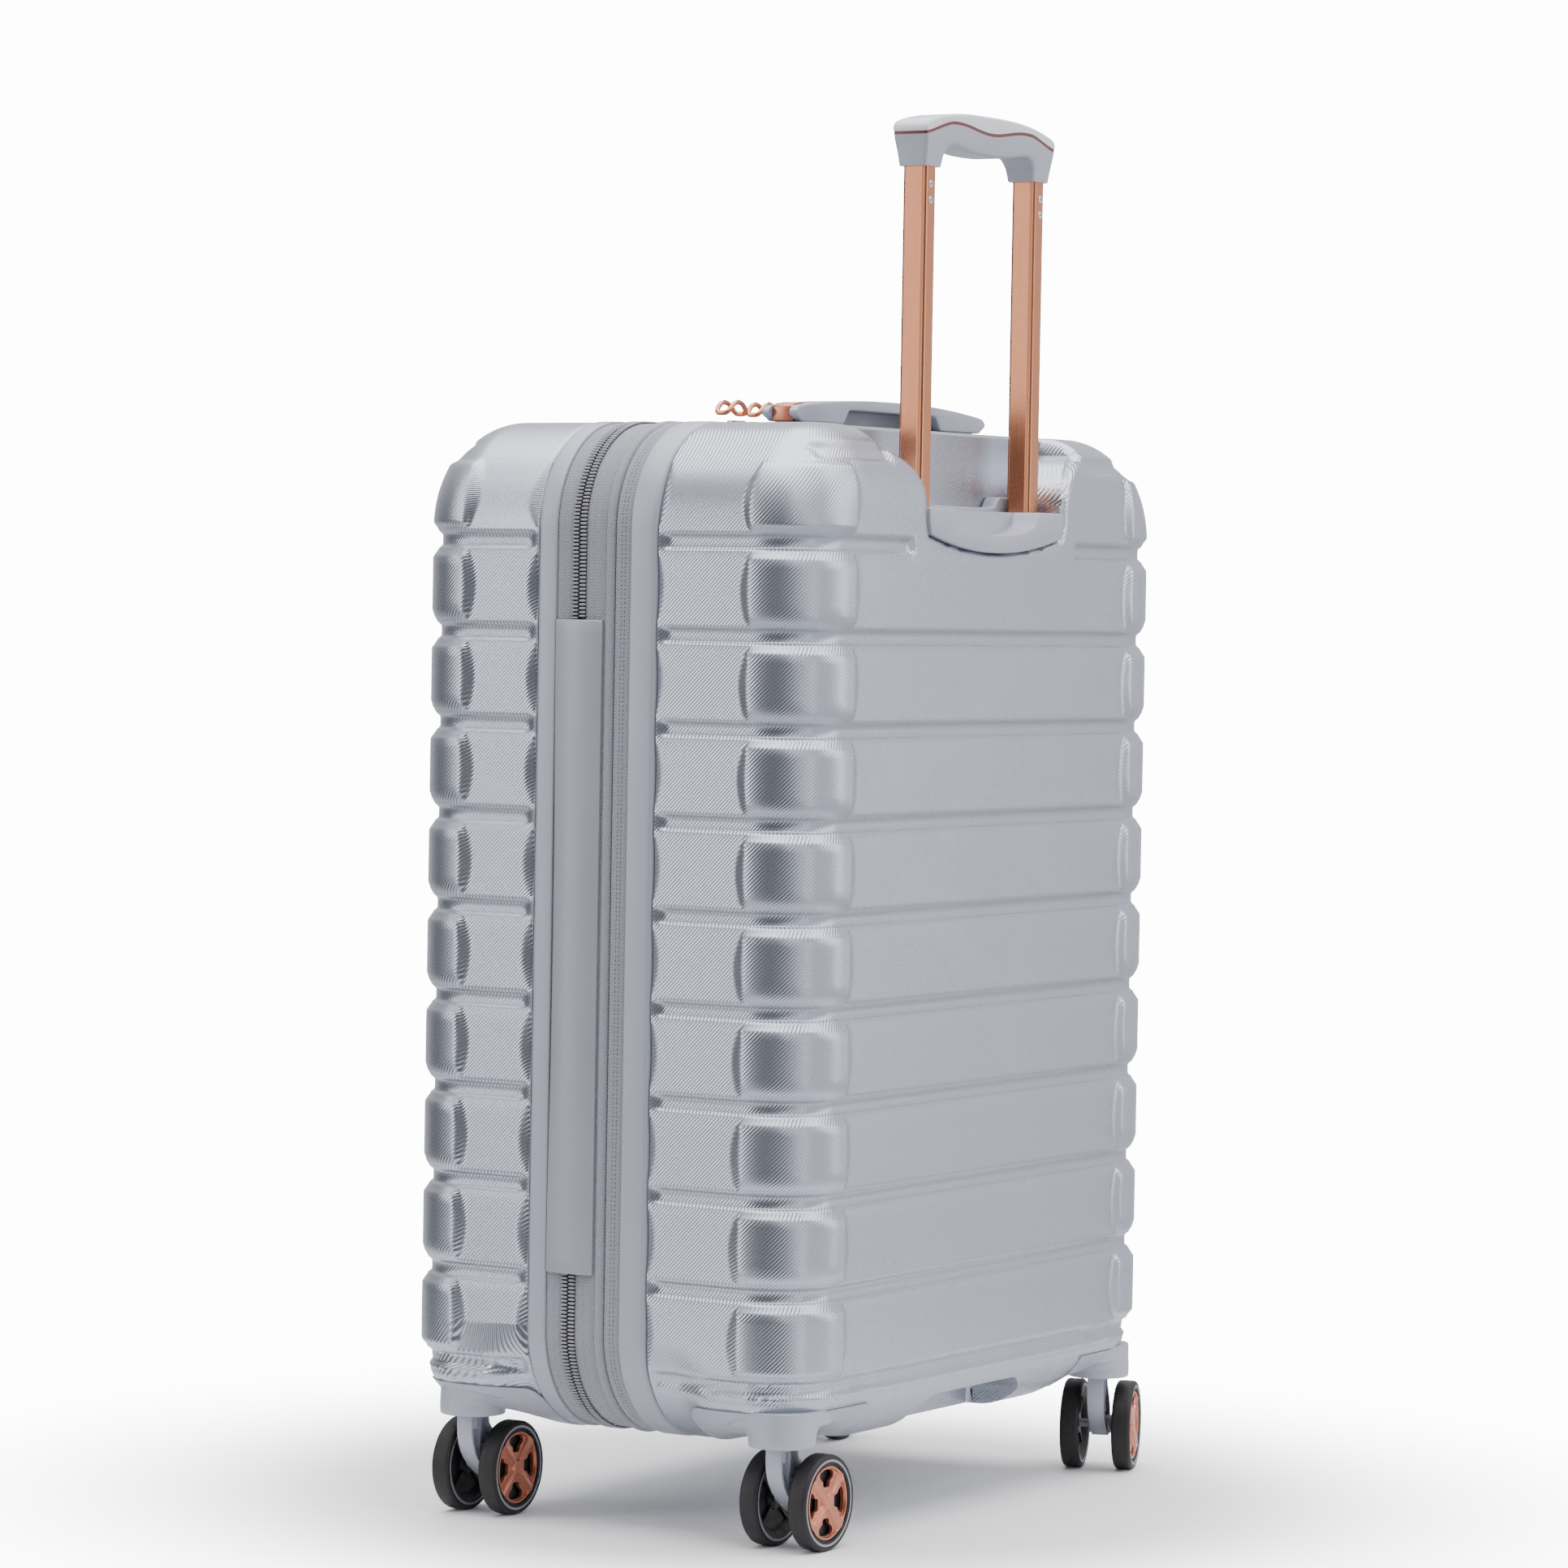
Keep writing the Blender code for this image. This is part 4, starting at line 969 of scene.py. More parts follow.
def make_casters():
    tyre, ring, core, hub = tyre_shape(), ring_shape(), core_shape(), hub_shape()
    fork = fork_shape()
    housings = {sign: housing_shape(STEM_X, abs(JOINTS[f"swivel_{row}_right"]["pos_m"][1]))
                for sign, row in ((1, "back"), (-1, "front"))}
    for name in ("back_right", "back_left", "front_right", "front_left"):
        swivel = JOINTS[f"swivel_{name}"]
        x, y, _ = swivel["pos_m"]
        wheels = {letter: JOINTS[f"wheel_{name}_{letter}_roll"] for letter in "ab"}
        axis = Vector(wheels["a"]["axis"])
        turn = Matrix.Rotation(math.atan2(axis.y, axis.x) - math.pi / 2, 4, "Z")
        at_stem = Matrix.Translation((x, y, 0)) @ turn
        copied(fork, f"arm_{name}", at_stem, f"caster_{name}", "trim", f"fork_{name}")
        corner = Matrix.Diagonal((1 if x > 0 else -1, 1 if y > 0 else -1, 1, 1))
        half = "back_case" if y > 0 else "lid"
        housing = housings[1 if y > 0 else -1]
        copied(housing, f"wheel_housing_{name}", corner, half, "trim", f"caster_housing_{name}")
        for letter, wheel in wheels.items():
            out = turn if letter == "a" else turn @ Matrix.Rotation(math.pi, 4, "Z")
            at = Matrix.Translation(wheel["pos_m"]) @ out
            body = f"wheel_{name}_{letter}"
            copied(tyre, f"tread_{name}_{letter}", at, body, "tyre", f"tyre_{name}_{letter}")
            copied(ring, f"flank_line_{name}_{letter}", at, body, "tyre")
            copied(core, f"wheel_core_{name}_{letter}", at, body, "tyre")
            copied(hub, f"hub_face_{name}_{letter}", at, body, "rose_plastic", f"hub_{name}_{letter}")
    for shape in (tyre, ring, core, hub, fork, *housings.values()):
        discard(shape)


# ---------------------------------------------------------------- telescopic handle

GRIP_HALF = 0.091
RIVET_Z = (0.9200, 0.9090)
TUBE_COVE = 0.0028              # radius of the hollow along a tube's corners


def tube_outline(centre_x, half, cove):
    """A flat-sided tube with a small hollow groove along each corner."""
    y0 = sum(span_y("trolley_tube_right")) / 2
    points = []
    for sx, sy in ((1, 1), (-1, 1), (-1, -1), (1, -1)):
        corner = [(half[0], half[1] - cove - 0.0006), (half[0] - 0.0004, half[1] - cove - 0.0002)]
        for a in np.radians((15, 35, 55, 75)):
            corner.append((half[0] - cove * math.sin(a), half[1] - cove * math.cos(a)))
        corner += [(half[0] - cove - 0.0002, half[1] - 0.0004), (half[0] - cove - 0.0006, half[1])]
        if sx * sy < 0:
            corner.reverse()
        points += [(centre_x + sx * a, y0 + sy * b) for a, b in corner]
    return points


def make_tubes():
    """The two tubes, each with two rivets under the grip."""
    ring = [(0.0010, 0.0), (0.0026, 0.0), (0.0026, 0.0003),
            (0.0019, 0.0008), (0.0013, 0.0008), (0.0010, 0.0003)]
    disc = [(0, 0.0), (0.0011, 0.0), (0.0011, 0.0002), (0, 0.0002)]
    low_z, high_z = (corner.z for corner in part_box("trolley_tube_right"))
    for side, name in ((1, "right"), (-1, "left")):
        low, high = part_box(f"trolley_tube_{name}")
        half = ((high.x - low.x) / 2, (high.y - low.y) / 2)
        centre = (high.x + low.x) / 2
        points = tube_outline(centre, half, TUBE_COVE)
        tube = prism(f"tube_{name}", points, "z", low_z, high_z, ROSE_METAL, sharp=30)
        finish(tube, "trolley", "rose_metal", f"trolley_tube_{name}")
        for level, z in enumerate(RIVET_Z):
            at = Matrix.Translation((centre + side * 0.0008, high.y - 0.0001, z))
            rivet = turned(f"rivet_{name}_{level}", ring, RIVET, 24)
            # A black disc in each rivet's hollow: painted shade inside the hole.
            hole = turned_disc(f"rivet_hole_shade_{name}_{level}", disc, BLACK, 16)
            for piece in (rivet, hole):
                piece.data.transform(at)
                finish(piece, "trolley", "rose_metal")


def grip_outline():
    """The grip from behind: an arched underside between two legs, and a bowed top."""
    right = [(0.0, 0.9438), (0.015, 0.9441), (0.030, 0.9453), (0.043, 0.9472), (0.053, 0.9480),
             (0.0590, 0.9455), (0.0628, 0.9405), (0.0650, 0.9300), (0.0864, 0.9300), (0.0874, 0.9400),
             (0.0890, 0.9500), (0.0906, 0.9575), (0.0904, 0.9600)]
    right += [(x, 0.9716 - 0.0100 * abs(x / GRIP_HALF) ** 3.0) for x in np.linspace(0.0875, 0.0, 15)]
    return mirrored(right)


def parting(x):
    """Height of the wavy line between the grip's body and its cover."""
    far = abs(x) / GRIP_HALF
    wavy = 0.0022 * math.cos(2 * math.pi * (far - 0.52) / 1.05)
    return 0.9612 + wavy - 0.0050 * max(0.0, far - 0.62) ** 1.2 / 0.38 ** 1.2


def parting_tool(low, high):
    """The block between two heights over the parting line; None leaves that side open."""
    xs = np.linspace(-0.1, 0.1, 61)
    points = [(x, parting(x) + low) for x in xs] if low is not None else [(-0.1, 0.9), (0.1, 0.9)]
    upper = [(x, parting(x) + high) for x in reversed(xs)] if high is not None else [(0.1, 1.1), (-0.1, 1.1)]
    return prism("parting", points + upper, "y", 0.1, 0.2, TRIM)


def grip_solid(name, material, inset=0.0):
    """The whole grip, its legs thinner than its top."""
    low, high = span_y("trolley_grip")
    solid = prism(name, grip_outline(), "y", low + inset, high - inset, material, 0.0062, 6)
    middle = (low + high) / 2
    for vert in solid.data.vertices:
        vert.co.y = middle + (vert.co.y - middle) * (0.76 + 0.24 * float(ramp(vert.co.z, 0.928, 0.956)))
    foot = prism("foot", rectangle(-0.1, 0.1, 0.90, 0.932), "y", 0.1, CUT_END, material)
    return carve(solid, foot)


def make_grip():
    """The grip's body, its cover, the line between them and the button."""
    room = rectangle(-0.0255, 0.0255, 0.1305, 0.1435)
    line = 0.0011
    parts = (("grip_body", TRIM, (None, -line), 0.0, "trim", ["trolley_grip"]),
             ("grip_cover", COVER, (line, None), 0.0, "trim", ["trolley_grip_cover"]),
             ("grip_inlay", ROSE_DARK, (-line, line), 0.00012, "rose_plastic", []))
    for name, material, (low, high), inset, slot, nodes in parts:
        solid = grip_solid(name, material, inset)
        carve(solid, parting_tool(low, high), operation="INTERSECT")
        carve(solid, prism("room", room, "z", 0.9540, 1.0, material))
        finish(sharpen(solid, 30), "trolley", slot, *nodes)
    low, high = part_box("release_button")
    near, far = low.y + 0.002, high.y - 0.002
    left, right = low.x + 0.004, high.x - 0.004
    points = [(low.x, near), (left, low.y), (right, low.y), (high.x, near),
              (high.x, far), (right, high.y), (left, high.y), (low.x, far)]
    button = prism("button_pad", points, "z", low.z, high.z + 0.0006, ROSE_DARK, 0.0012, 3)
    finish(button, "release", "rose_plastic", "release_button")


def make_bezel():
    """The tray at the recess's foot: a curved front lip with a finger scoop, and wells for the tubes."""
    low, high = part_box("trolley_bezel")
    points = [(x, z) for x, z in recess_outline(-0.0004) if z <= 0.695]
    right = [point for point in points if point[0] >= 0]
    left = [point for point in points if point[0] < 0]
    points = right + [(high.x, high.z), (low.x, high.z)] + left
    tray = prism("tray", points, "y", low.y, high.y, TRIM, 0.0012, 3)
    scoop = [(-0.062, 0.7002), (-0.0585, 0.6985), (-0.056, 0.6950), (-0.0535, 0.6905), (-0.048, 0.6870),
             (-0.036, 0.6838), (-0.018, 0.6818), (0.0, 0.6812)]
    scoop += [(-x, z) for x, z in reversed(scoop[:-1])] + [(0.062, 0.72), (-0.062, 0.72)]
    carve(tray, prism("hollow", scoop, "y", 0.1400, CUT_END, TRIM))
    carve(tray, *tube_wells())
    round_edges(tray, 0.0007, 2, 50)
    finish(sharpen(tray, 32), "back_case", "trim", "trolley_bezel")
    rim_points = [(0.0, 0.7020), (0.0500, 0.7020), (0.0600, 0.7030), (0.0630, 0.7075), (0.0665, 0.7100),
                  (0.0880, 0.7100), (0.0905, 0.7070), (0.0905, 0.6940), (0.0, 0.6940)]
    rim = prism("tray_back_rim", mirrored(rim_points), "y", 0.1126, 0.1245, TRIM, 0.0012, 3)
    finish(rim, "back_case", "trim")


# ---------------------------------------------------------------- tapes, zip and hinge cover

def along(piece, count, run):
    """Store the length along a strip at every point, for its weave; each ring has this many points."""
    lengths, total, last = [], 0.0, None
    for x, z, angle in run:
        point = Vector((x + R_CORNER * math.cos(angle), z + R_CORNER * math.sin(angle)))
        total += (point - last).length if last else 0.0
        last = point
        lengths.append(total)
    values = [length for length in lengths for _ in range(count)]
    piece.data.attributes.new("run", "FLOAT", "POINT").data.foreach_set("value", values)


def cord_profile(inset, y, radius):
    return [(inset - radius * math.cos(a), y + radius * math.sin(a)) for a in circuit(14)]


def woven_strip(name, profile, material, body, *nodes):
    """A strip all round the case, left open by a hair so that its weave starts and ends cleanly."""
    run = stations(corner_steps=40)
    run.append((run[0][0], run[0][1] + 0.00002, 0.0))
    piece = strip(name, profile, material, run, closed=False)
    along(piece, len(profile), run)
    return finish(piece, body, "tape", *nodes)


COIL_PITCH = 0.0026
COIL_R = 0.00088
COIL_STEPS = 8
LINING_CORNER = 0.055


def coil(name, low_y, high_y, gap_z, shift):
    """A row of zip coil: rounded bars side by side, from one end of the hinge cover round to the other."""
    points, ways = [], []
    for x, z, angle in stations(corner_steps=60, gap_z=gap_z):
        ways.append((math.cos(angle), math.sin(angle)))
        points.append((x + R_CORNER * math.cos(angle), z + R_CORNER * math.sin(angle)))
    points, ways = np.array(points), np.array(ways)
    length = np.concatenate([[0.0], np.cumsum(np.hypot(*(points[1:] - points[:-1]).T))])
    at = np.arange(COIL_PITCH * (0.5 + shift), length[-1] - COIL_PITCH, COIL_PITCH)
    centre = np.stack([np.interp(at, length, points[:, i]) for i in range(2)], -1)
    out = np.stack([np.interp(at, length, ways[:, i]) for i in range(2)], -1)
    stops = [(low_y, 0.35), (low_y + 0.0004, 0.8), (low_y + 0.0011, 1.0),
             (high_y - 0.0011, 1.0), (high_y - 0.0004, 0.8), (high_y, 0.35)]
    verts, faces = [], []
    bar = grid_faces(len(stops), COIL_STEPS, closed_columns=True)
    for (x, z), (ox, oz) in zip(centre, out):
        start = len(verts)
        for y, size in stops:
            for a in circuit(COIL_STEPS):
                lift, go = COIL_R * size * math.cos(a) - 0.0008, COIL_R * size * math.sin(a)
                verts.append((x + ox * lift - oz * go, y, z + oz * lift + ox * go))
        faces += [tuple(start + i for i in face) for face in bar]
        last = start + (len(stops) - 1) * COIL_STEPS
        faces += [tuple(range(start, start + COIL_STEPS)), tuple(range(last, last + COIL_STEPS))]
    return make(name, verts, faces, COIL)


def make_strips():
    """The woven tapes, the piping and the zip between the two rims."""
    cover_low, cover_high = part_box("hinge_cover")
    gap_z = (cover_low.z + 0.002, cover_high.z - 0.002)
    profile = rounded(0.0013, *span_y("rear_tape"), 0.002, 0.0006, 0.0006, 3)
    woven_strip("rear_woven_tape", profile, TAPE_STITCHED, "back_case", "rear_tape")
    piping = cord_profile(0.0033, span_y("middle_tape")[1] - 0.0036, 0.0036)
    woven_strip("piping_cord", piping, CORD, "mid_frame", "middle_tape")
    sides = (("rear", "mid_frame", (ZIP_Y + 0.0052, -0.0004), (ZIP_Y + 0.0006, ZIP_Y + 0.008), []),
             ("front", "lid", (span_y("front_tape")[0], ZIP_Y - 0.0052), (ZIP_Y - 0.008, ZIP_Y - 0.0006),
              ["front_tape"]))
    for side, body, tape_ends, shade_floor_ends, nodes in sides:
        profile = rounded(0.0017, *tape_ends, 0.002, 0.0004, 0.0004, 3)
        woven_strip(f"{side}_zip_tape", profile, TAPE, body, *nodes)
        # A black strip under each row of coil: painted shade beneath the coil and between its bars.
        floor = strip(f"zip_shade_floor_{side}", rounded(0.0034, *shade_floor_ends, 0.001, 0.0003, 0.0003, 3), BLACK)
        finish(floor, body, "tape")
    finish(coil("zip_coil_rear", ZIP_Y + 0.0003, ZIP_Y + 0.0057, gap_z, 0.0), "mid_frame", "tape")
    finish(coil("zip_coil_front", ZIP_Y - 0.0057, ZIP_Y - 0.0003, gap_z, 0.5), "lid", "tape")


def make_hinge_cover():
    """The plain band over the hinge, a little bowed, in the shape it has with the lid shut."""
    low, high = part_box("hinge_cover")
    steps = 28
    outer = []
    for i in range(steps + 1):
        share = i / steps
        y = low.y + (high.y - low.y) * share
        outer.append((high.x + 0.0006 - 0.0030 * abs(2 * share - 1) ** 2.0, y))
    inner = [(x - 0.0013, y) for x, y in reversed(outer)]
    profile = outer + inner
    rings = []
    heights = [low.z, low.z + 0.0004, low.z + 0.0012] + list(np.linspace(low.z + 0.01, high.z - 0.01, 24))
    heights += [high.z - 0.0012, high.z - 0.0004, high.z]
    for z in heights:
        near = max(0.0, 0.0012 - min(z - low.z, high.z - z)) / 0.0012
        bow = 0.0018 * math.sin(math.pi * (z - low.z) / (high.z - low.z)) ** 2
        ring = []
        for k, (x, y) in enumerate(profile):
            front = max(0.0, 1 - (y - low.y) / 0.014)
            ring.append((x - 0.0009 * near ** 2 * (1 if k <= steps else 0), y + bow * front, z))
        rings.append(ring)
    cover = loft("hinge_band", rings, SMOOTH_TAPE, sharp=40)
    x, y, z = JOINTS["lid_hinge"]["pos_m"]
    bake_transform(cover)
    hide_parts("hinge_cover")


def make_gusset():
    """The folded fabric that lets the case expand, as it lies folded."""
    low, high = -0.0020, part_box("expansion_gusset")[1].y
    count = 16
    outer = [(0.0066 + 0.0012 * (i % 2), high - (high - low) * i / count) for i in range(count + 1)]
    profile = outer + [(d + 0.0010, y) for d, y in reversed(outer)]
    gusset = strip("gusset_fabric", profile, GUSSET, stations(corner_steps=16), sharp=60)
    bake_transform(gusset)
    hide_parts("expansion_gusset")


def make_linings():
    for node, body in (("back_lining", "back_case"), ("front_lining", "lid")):
        low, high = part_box(node)
        points = round_box(low.x, high.x, low.z, high.z, LINING_CORNER, 10)
        panel = prism(f"{node}_cloth", points, "y", low.y, high.y, LINING, 0.0006, 2)
        finish(panel, body, "lining", node)


# ---------------------------------------------------------------- carry handles

def plate(name, low, high, axis, material, corner, bevel=0.0004):
    """A flat plate with round corners, upright along an axis."""
    order = {"x": ("y", "z"), "z": ("x", "y")}[axis]
    a0, a1 = getattr(low, order[0]), getattr(high, order[0])
    b0, b1 = getattr(low, order[1]), getattr(high, order[1])
    points = round_box(a0, a1, b0, b1, corner, 6)
    return prism(name, points, axis, getattr(low, axis), getattr(high, axis), material, bevel, 2)


CROWN_DROP = 0.42               # share of a handle's height that its top falls by the ends
CROWN_POWER = 2.3


def crown_line(x, tip, crown, foot):
    """Height of a carry handle's bowed top at a length along it."""
    return crown - (crown - foot) * CROWN_DROP * (x / tip) ** CROWN_POWER


def handle_outline(tip, crown, foot, under, gap=0.060):
    """A bowed carry handle from the side: lengths along it, heights over the wall."""
    top = [(x, crown_line(x, tip, crown, foot)) for x in np.linspace(0.0, tip - 0.012, 14)]
    end = top[-1][1]
    nose = [(tip - 0.004, end - 0.0012), (tip, end - 0.0044),
            (tip - 0.0005, foot + 0.0046), (tip - 0.0085, foot)]
    low = [(gap + 0.0085, foot), (gap + 0.0065, foot + 0.0006), (gap, under - 0.0008), (gap - 0.004, under)]
    return mirrored(top + nose + low)


def make_top_handle():
    """The top carry handle: a bowed grip with a rose post and inlay at either end."""
    low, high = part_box("top_handle_grip")
    middle = (low.y + high.y) / 2
    points = handle_outline(high.x, high.z, low.z, 0.7668)
    grip = prism("handle_grip", points, "y", low.y, high.y, TRIM, 0.0024, 4)
    post = [(0.1122, 0.7568), (0.1262, 0.7568), (0.1262, 0.7672), (0.1238, 0.7690), (0.1122, 0.7705)]
    groove = [(0.0735, 0.80), (0.0735, 0.7702), (0.115, 0.7660), (0.115, 0.80)]
    crown = [(x, crown_line(x, high.x, high.z, low.z)) for x in np.linspace(0.0740, 0.1150, 12)]
    band = [(x, z + 0.0002) for x, z in crown] + [(x, z - 0.0022) for x, z in reversed(crown)]
    for side, name in ((1, "right"), (-1, "left")):
        strap_y = span_y(f"top_handle_strap_{name}")
        cuts = []
        slot = rectangle(0.1105, 0.150, 0.74, 0.80)
        for points, ends in ((slot, (strap_y[0] - 0.0004, strap_y[1] + 0.0004)),
                             (groove, (middle - 0.0034, middle + 0.0034))):
            cuts.append(prism("cut", [(side * x, z) for x, z in points], "y", *ends, TRIM))
        carve(grip, *cuts)
        points = [(side * x, z) for x, z in post]
        strap = prism(f"strap_post_{name}", points, "y", *strap_y, ROSE_PAINT, 0.0011, 3)
        finish(strap, "top_handle", "rose_plastic", f"top_handle_strap_{name}")
        points = [(side * x, z) for x, z in band]
        ends = (middle - 0.0032, middle + 0.0032)
        inlay = prism(f"strap_inlay_{name}", points, "y", *ends, ROSE_PAINT, 0.0003, 2)
        finish(inlay, "top_handle", "rose_plastic")
    half = 0.070
    skirt_foot = [(-half, low.z + 0.0004), (half, low.z + 0.0004)]
    skirt_top = [(x, high.z - 0.0040 - 0.004 * (x / half) ** 2) for x in np.linspace(half, -half, 15)]
    skirt = prism("skirt", skirt_foot + skirt_top, "y", low.y + 0.0012, low.y + 0.0042, TRIM)
    carve(grip, skirt, operation="UNION")
    finish(sharpen(grip, 32), "top_handle", "trim", "top_handle_grip")
    base = plate("handle_plate", *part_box("top_handle_base"), "z", TRIM, 0.0055)
    finish(base, "back_case", "trim", "top_handle_base")


def make_side_handle():
    """The side carry handle, a bowed grip over its plate."""
    low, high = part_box("side_handle_grip")
    middle_z = (low.z + high.z) / 2
    foot = -high.x
    points = handle_outline((high.z - low.z) / 2, -low.x, foot, foot + 0.0040, 0.062)
    rings = [[(-b, y, middle_z + a) for a, b in points] for y in (low.y, high.y)]
    grip = loft("side_grip", rings, TRIM)
    round_edges(grip, 0.0020, 4)
    finish(sharpen(grip, 32), "side_handle", "trim", "side_handle_grip")
    base = plate("side_plate", *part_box("side_handle_base"), "x", TRIM, 0.006, 0.0003)
    finish(base, "back_case", "trim", "side_handle_base")


# ---------------------------------------------------------------- lock, sliders and pulls

def make_dial(number, radius):
    """A lock dial, notched all round."""
    pivot = Vector(JOINTS[f"dial_{number}_turn"]["pos_m"])
    steps, half, round_off = 60, 0.0018, 0.0004
    verts = []
    for i, angle in enumerate(circuit(steps)):
        outer = radius - (0.0003 if i % 6 in (0, 1) else 0.0)
        for x, r in ((-half, outer - round_off), (round_off - half, outer), (half - round_off, outer),
                     (half, outer - round_off)):
            verts.append((pivot.x + x, pivot.y + r * math.cos(angle), pivot.z + r * math.sin(angle)))
    faces = grid_faces(steps, 4, closed_rows=True)
    faces += [tuple(range(0, 4 * steps, 4)), tuple(range(3, 4 * steps, 4))]
    dial = make(f"dial_{number}", verts, faces, DIAL, sharp=30)
    finish(dial, f"lock_dial_{number}", "dial_metal", f"lock_dial_{number}")


def make_lock():
    """The lock on the top: a flat case with three dials and a sliding button."""
    body = plate("lock_case", *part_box("lock_body"), "z", TRIM, 0.004, 0.0016)
    for number in (1, 2, 3):
        low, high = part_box(f"lock_dial_{number}")
        x = (low.x + high.x) / 2
        room = prism("room", rectangle(x - 0.0022, x + 0.0022, 0.0188, 0.0292), "z", 0.7558, 0.8, TRIM)
        carve(body, room)
        make_dial(number, (high.y - low.y) / 2)
    low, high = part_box("lock_button")
    points = rectangle(low.x - 0.0004, high.x + 0.0044, low.y - 0.0003, high.y + 0.0003)
    carve(body, prism("room", points, "z", low.z - 0.0006, 0.8, TRIM))
    finish(sharpen(body, 32), "back_case", "trim", "lock_body")
    button = plate("lock_key", low, high, "z", ROSE_PAINT, 0.0014, 0.0005)
    finish(button, "lock_button", "rose_plastic", "lock_button")


def bent_wire(name, points, radius, material):
    """A closed round wire through points."""
    path = np.array(points)
    ahead = np.roll(path, -1, 0) - np.roll(path, 1, 0)
    ahead /= np.linalg.norm(ahead, axis=1)[:, None]
    rings = []
    for point, way in zip(path, ahead):
        side = np.cross(way, (0, 0, 1.0))
        side /= np.linalg.norm(side)
        up = np.cross(side, way)
        rings.append([point + radius * (math.cos(a) * side + math.sin(a) * up) for a in circuit(12)])
    return loft(name, rings, material, closed=True)


PULL_R = 0.0018                 # the wire of a zip pull
PULL_SQUARENESS = 0.42          # 1 gives an ellipse, less a squarer loop


def pull_points(side, low, high, pivot, radius):
    """The middle line of a zip pull: a rounded loop that stands a little off the case."""
    length, wide = high.x - low.x - 2 * radius, (high.y - low.y) / 2 - radius
    start = low.x + radius if side > 0 else high.x - radius
    points = []
    for angle in circuit(72):
        c, s = math.cos(angle), math.sin(angle)
        u = 0.5 - 0.5 * math.copysign(abs(c) ** PULL_SQUARENESS, c)
        v = wide * math.copysign(abs(s) ** PULL_SQUARENESS, s)
        lift = 0.0004 + 0.0108 * math.sin(math.pi * (0.06 + 0.88 * u)) ** 0.8
        points.append((start + side * u * length, pivot.y + v, pivot.z + lift))
    return points


def make_zip():
    """The two zip sliders with their pulls, and the slider of the expansion zip."""
    for name, side in (("right", 1), ("left", -1)):
        body = plate(f"slider_{name}", *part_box(f"main_slider_{name}"), "z", ROSE_METAL, 0.0030, 0.0009)
        finish(body, f"main_slider_{name}", "rose_metal", f"main_slider_{name}")
        pivot = Vector(JOINTS[f"main_pull_{name}_swing"]["pos_m"])
        points = pull_points(side, *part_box(f"main_pull_{name}"), pivot, PULL_R)
        loop = bent_wire(f"pull_{name}", points, PULL_R, ROSE_METAL)
        finish(loop, f"main_pull_{name}", "rose_metal", f"main_pull_{name}")
    body = plate("expansion_tab", *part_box("expansion_slider"), "x", ROSE_METAL, 0.0022, 0.0008)
    finish(body, "expansion_slider", "rose_metal", "expansion_slider")


def dress_inner_parts():
    """The hidden trolley sleeves and linkage keep their plain shapes."""
    for node in ("trolley_housing", "release_linkage"):
        mesh = NODES[node].data
        mesh.materials.clear()
        mesh.materials.append(INNER)


# ---------------------------------------------------------------- stage

CAMERA_AT = (3.4129, 2.0865, 0.6301)
CAMERA_ANGLES = (121.563, 1.803, 0.980)     # azimuth, elevation and roll, in degrees
CAMERA_LENS = 129.45                        # millimetres, on a 36 mm sensor


def make_camera():
    """The view from behind and to the right, level with the middle of the case."""
    data = bpy.data.cameras.new("camera")
    data.lens = CAMERA_LENS
    data.sensor_width = 36.0
    camera = bpy.data.objects.new("camera", data)
    bpy.context.scene.collection.objects.link(camera)
    azimuth, elevation, roll = (math.radians(a) for a in CAMERA_ANGLES)
    back = Vector((math.sin(azimuth) * math.cos(elevation), -math.cos(azimuth) * math.cos(elevation),
                   math.sin(elevation)))
    right = (-back).cross(Vector((0, 0, 1))).normalized()
    up = right.cross(-back)
    x = math.cos(roll) * right + math.sin(roll) * up
    y = -math.sin(roll) * right + math.cos(roll) * up
    turn = Matrix((x, y, back)).transposed()
    camera.matrix_world = Matrix.Translation(CAMERA_AT) @ turn.to_4x4()
    data.clip_end = 100.0
    bpy.context.scene.camera = camera


FLOOR_HALF = 2.5
FLOOR_FADE = (0.27, 0.78)       # the floor fades out between these distances from the case's middle


def make_floor():
    """A pale floor that fades away round the case."""
    paint = Paint("pale_floor", (0.93, 0.93, 0.935), 0.6)
    paint.feed("Base Color", paint.mix(paint.noise(3.0), (0.925, 0.925, 0.93), (0.94, 0.94, 0.945)))
    axes = paint.axes()
    flat = paint.node("ShaderNodeCombineXYZ", X=axes["X"], Y=axes["Y"]).outputs[0]
    far = paint.node("ShaderNodeVectorMath", {"operation": "LENGTH"}, i0=flat).outputs["Value"]
    fade = paint.node("ShaderNodeMapRange", {"interpolation_type": "SMOOTHSTEP"}, Value=far)
    ends = zip(("From Min", "From Max", "To Min", "To Max"), (*FLOOR_FADE, 1.0, 0.0))
    for key, number in ends:
        fade.inputs[key].default_value = number
    paint.feed("Alpha", fade.outputs["Result"])
    corners = [(x, y, 0) for x, y in rectangle(-FLOOR_HALF, FLOOR_HALF, -FLOOR_HALF, FLOOR_HALF)]
    floor = make("floor", corners, [(0, 1, 2, 3)], paint.material, smooth=False)


def area_light(name, place_at, aim, size, power):
    data = bpy.data.lights.new(name, "AREA")
    data.shape = "RECTANGLE"
    data.size, data.size_y = size
    data.energy = power
    lamp = bpy.data.objects.new(name, data)
    lamp.location = place_at
    lamp.rotation_euler = (Vector(aim) - Vector(place_at)).to_track_quat("-Z", "Y").to_euler()
    bpy.context.scene.collection.objects.link(lamp)


WORLD_STRENGTH = (1.02, 14.0)   # as it lights the case, and as the camera sees it
DARK_BANDS = (("rear_corner", 14.0, ((0.68, 1.0), (0.84, 0.34), (0.935, 0.012))),
              ("front_side", -78.0, ((0.74, 1.0), (0.87, 0.40), (0.96, 0.06))))


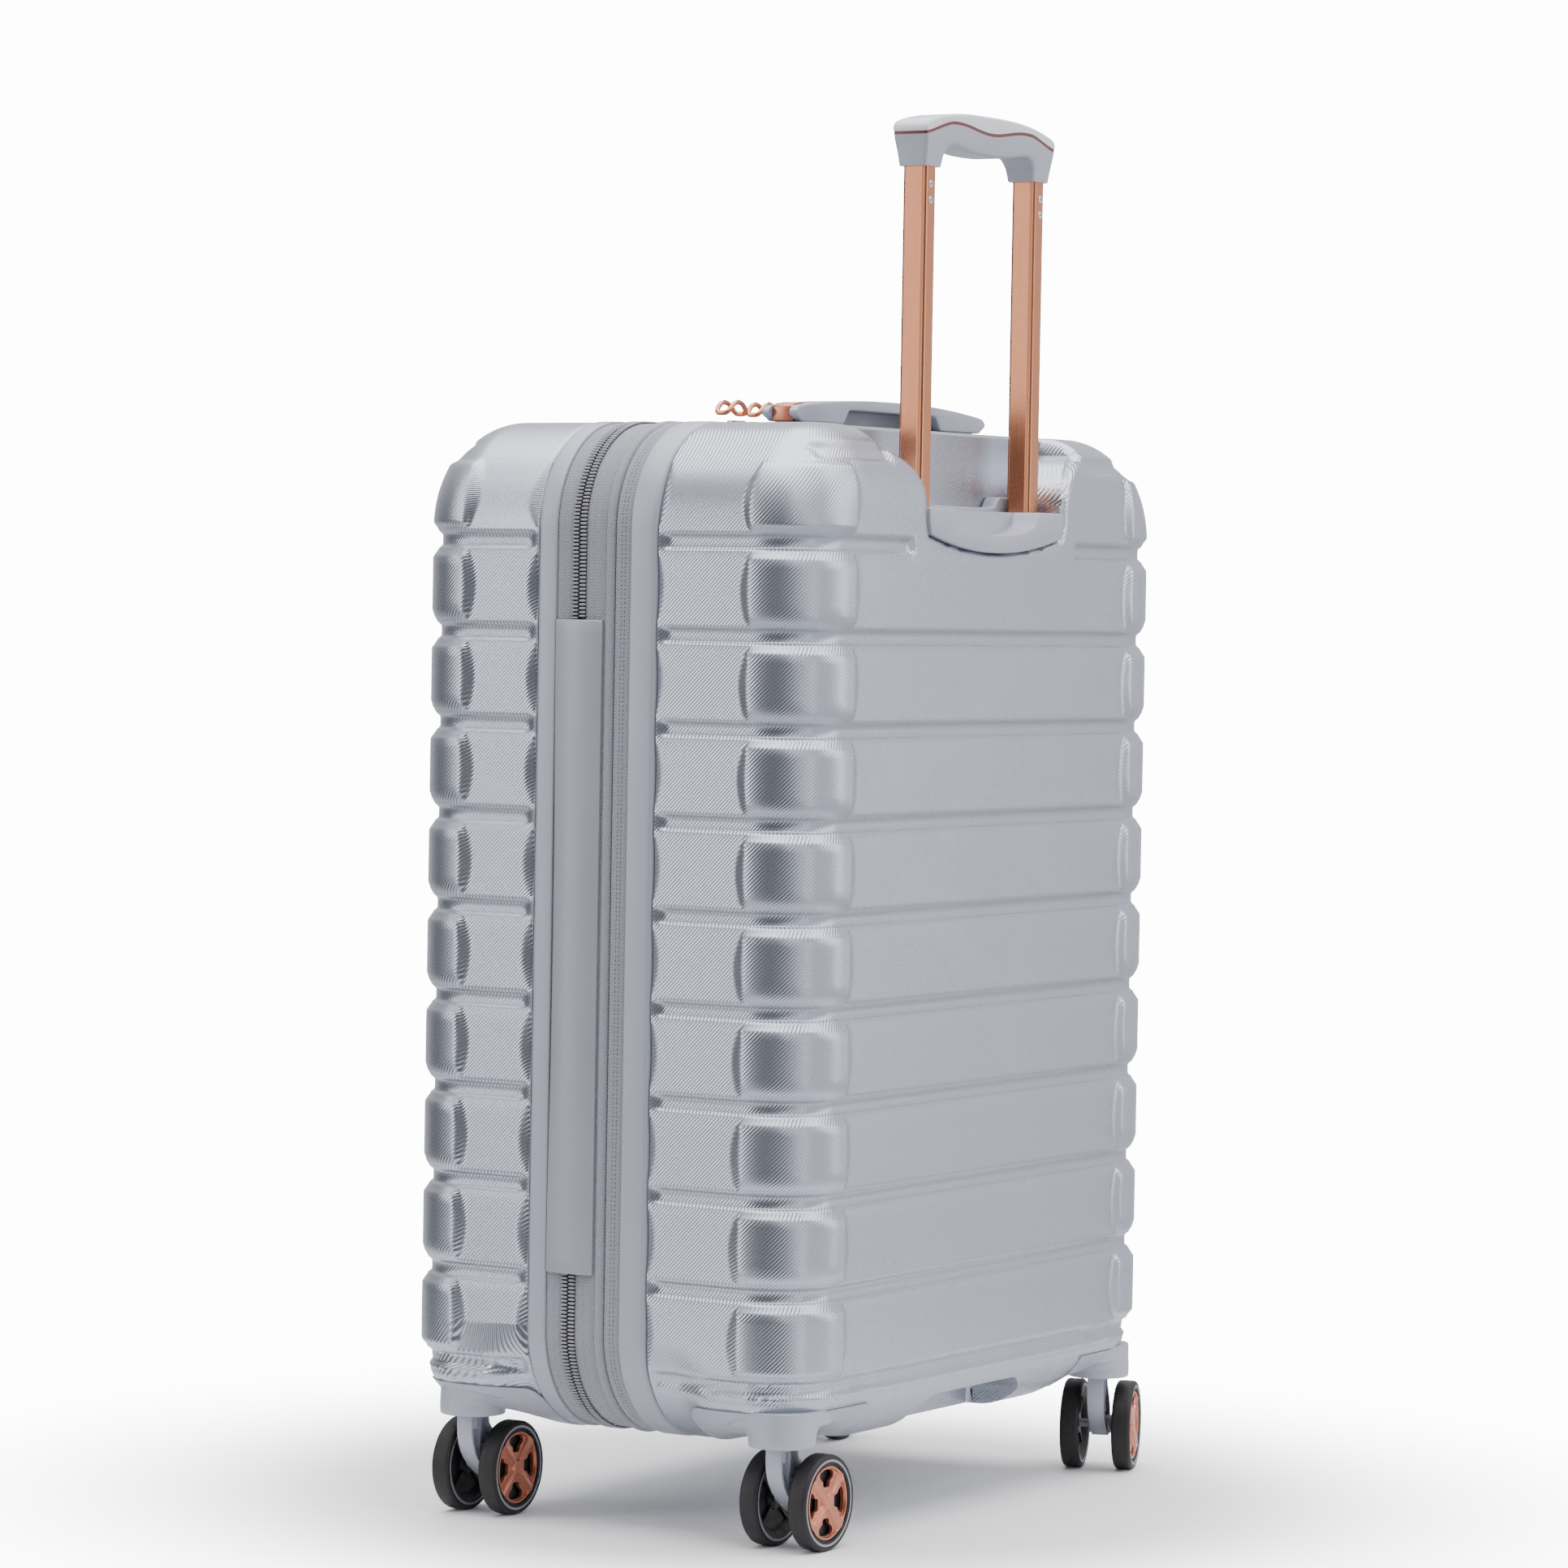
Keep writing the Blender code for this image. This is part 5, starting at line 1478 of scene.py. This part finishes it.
def make_studio():
    """A white studio with two darker upright bands, which the case's corners and pads mirror."""
    world = bpy.data.worlds.new("studio")
    bpy.context.scene.world = world
    world.use_nodes = True
    nodes, links = world.node_tree.nodes, world.node_tree.links
    direction = nodes.new("ShaderNodeTexCoord").outputs["Generated"]
    shades = []
    for name, azimuth, stops in DARK_BANDS:
        facing = nodes.new("ShaderNodeVectorMath")
        facing.operation = "DOT_PRODUCT"
        angle = math.radians(azimuth)
        facing.inputs[1].default_value = (math.cos(angle), math.sin(angle), 0.0)
        links.new(direction, facing.inputs[0])
        band = nodes.new("ShaderNodeValToRGB")
        band.name = name
        band.color_ramp.elements.new(stops[1][0])
        for element, (position, level) in zip(band.color_ramp.elements, stops):
            element.position = position
            element.color = (level, level, level * 1.02, 1.0)
        links.new(facing.outputs["Value"], band.inputs["Fac"])
        shades.append(band.outputs["Color"])
    both = nodes.new("ShaderNodeVectorMath")
    both.operation = "MULTIPLY"
    for i, shade in enumerate(shades):
        links.new(shade, both.inputs[i])
    links.new(both.outputs[0], nodes["Background"].inputs["Color"])
    seen = nodes.new("ShaderNodeMapRange")
    links.new(nodes.new("ShaderNodeLightPath").outputs["Is Camera Ray"], seen.inputs["Value"])
    seen.inputs["To Min"].default_value, seen.inputs["To Max"].default_value = WORLD_STRENGTH
    links.new(seen.outputs["Result"], nodes["Background"].inputs["Strength"])
    area_light("overhead", (0.0, 0.0, 3.8), (0.0, 0.0, 0.0), (5.0, 5.0), 330.0)
    area_light("key", (-1.4, 2.8, 1.6), (0.0, 0.0, 0.4), (1.2, 2.4), 36.0)
    area_light("side", (2.8, -2.3, 1.2), (0.0, 0.0, 0.4), (1.0, 2.4), 38.0)
    area_light("edge", (1.75, 2.75, 1.0), (0.0, 0.0, 0.4), (0.30, 2.4), 9.0)


make_shells()
make_rims()
make_casters()
make_tubes()
make_grip()
make_bezel()
make_strips()
make_hinge_cover()
make_gusset()
make_linings()
make_top_handle()
make_side_handle()
make_lock()
make_zip()
dress_inner_parts()
make_camera()
make_floor()
make_studio()
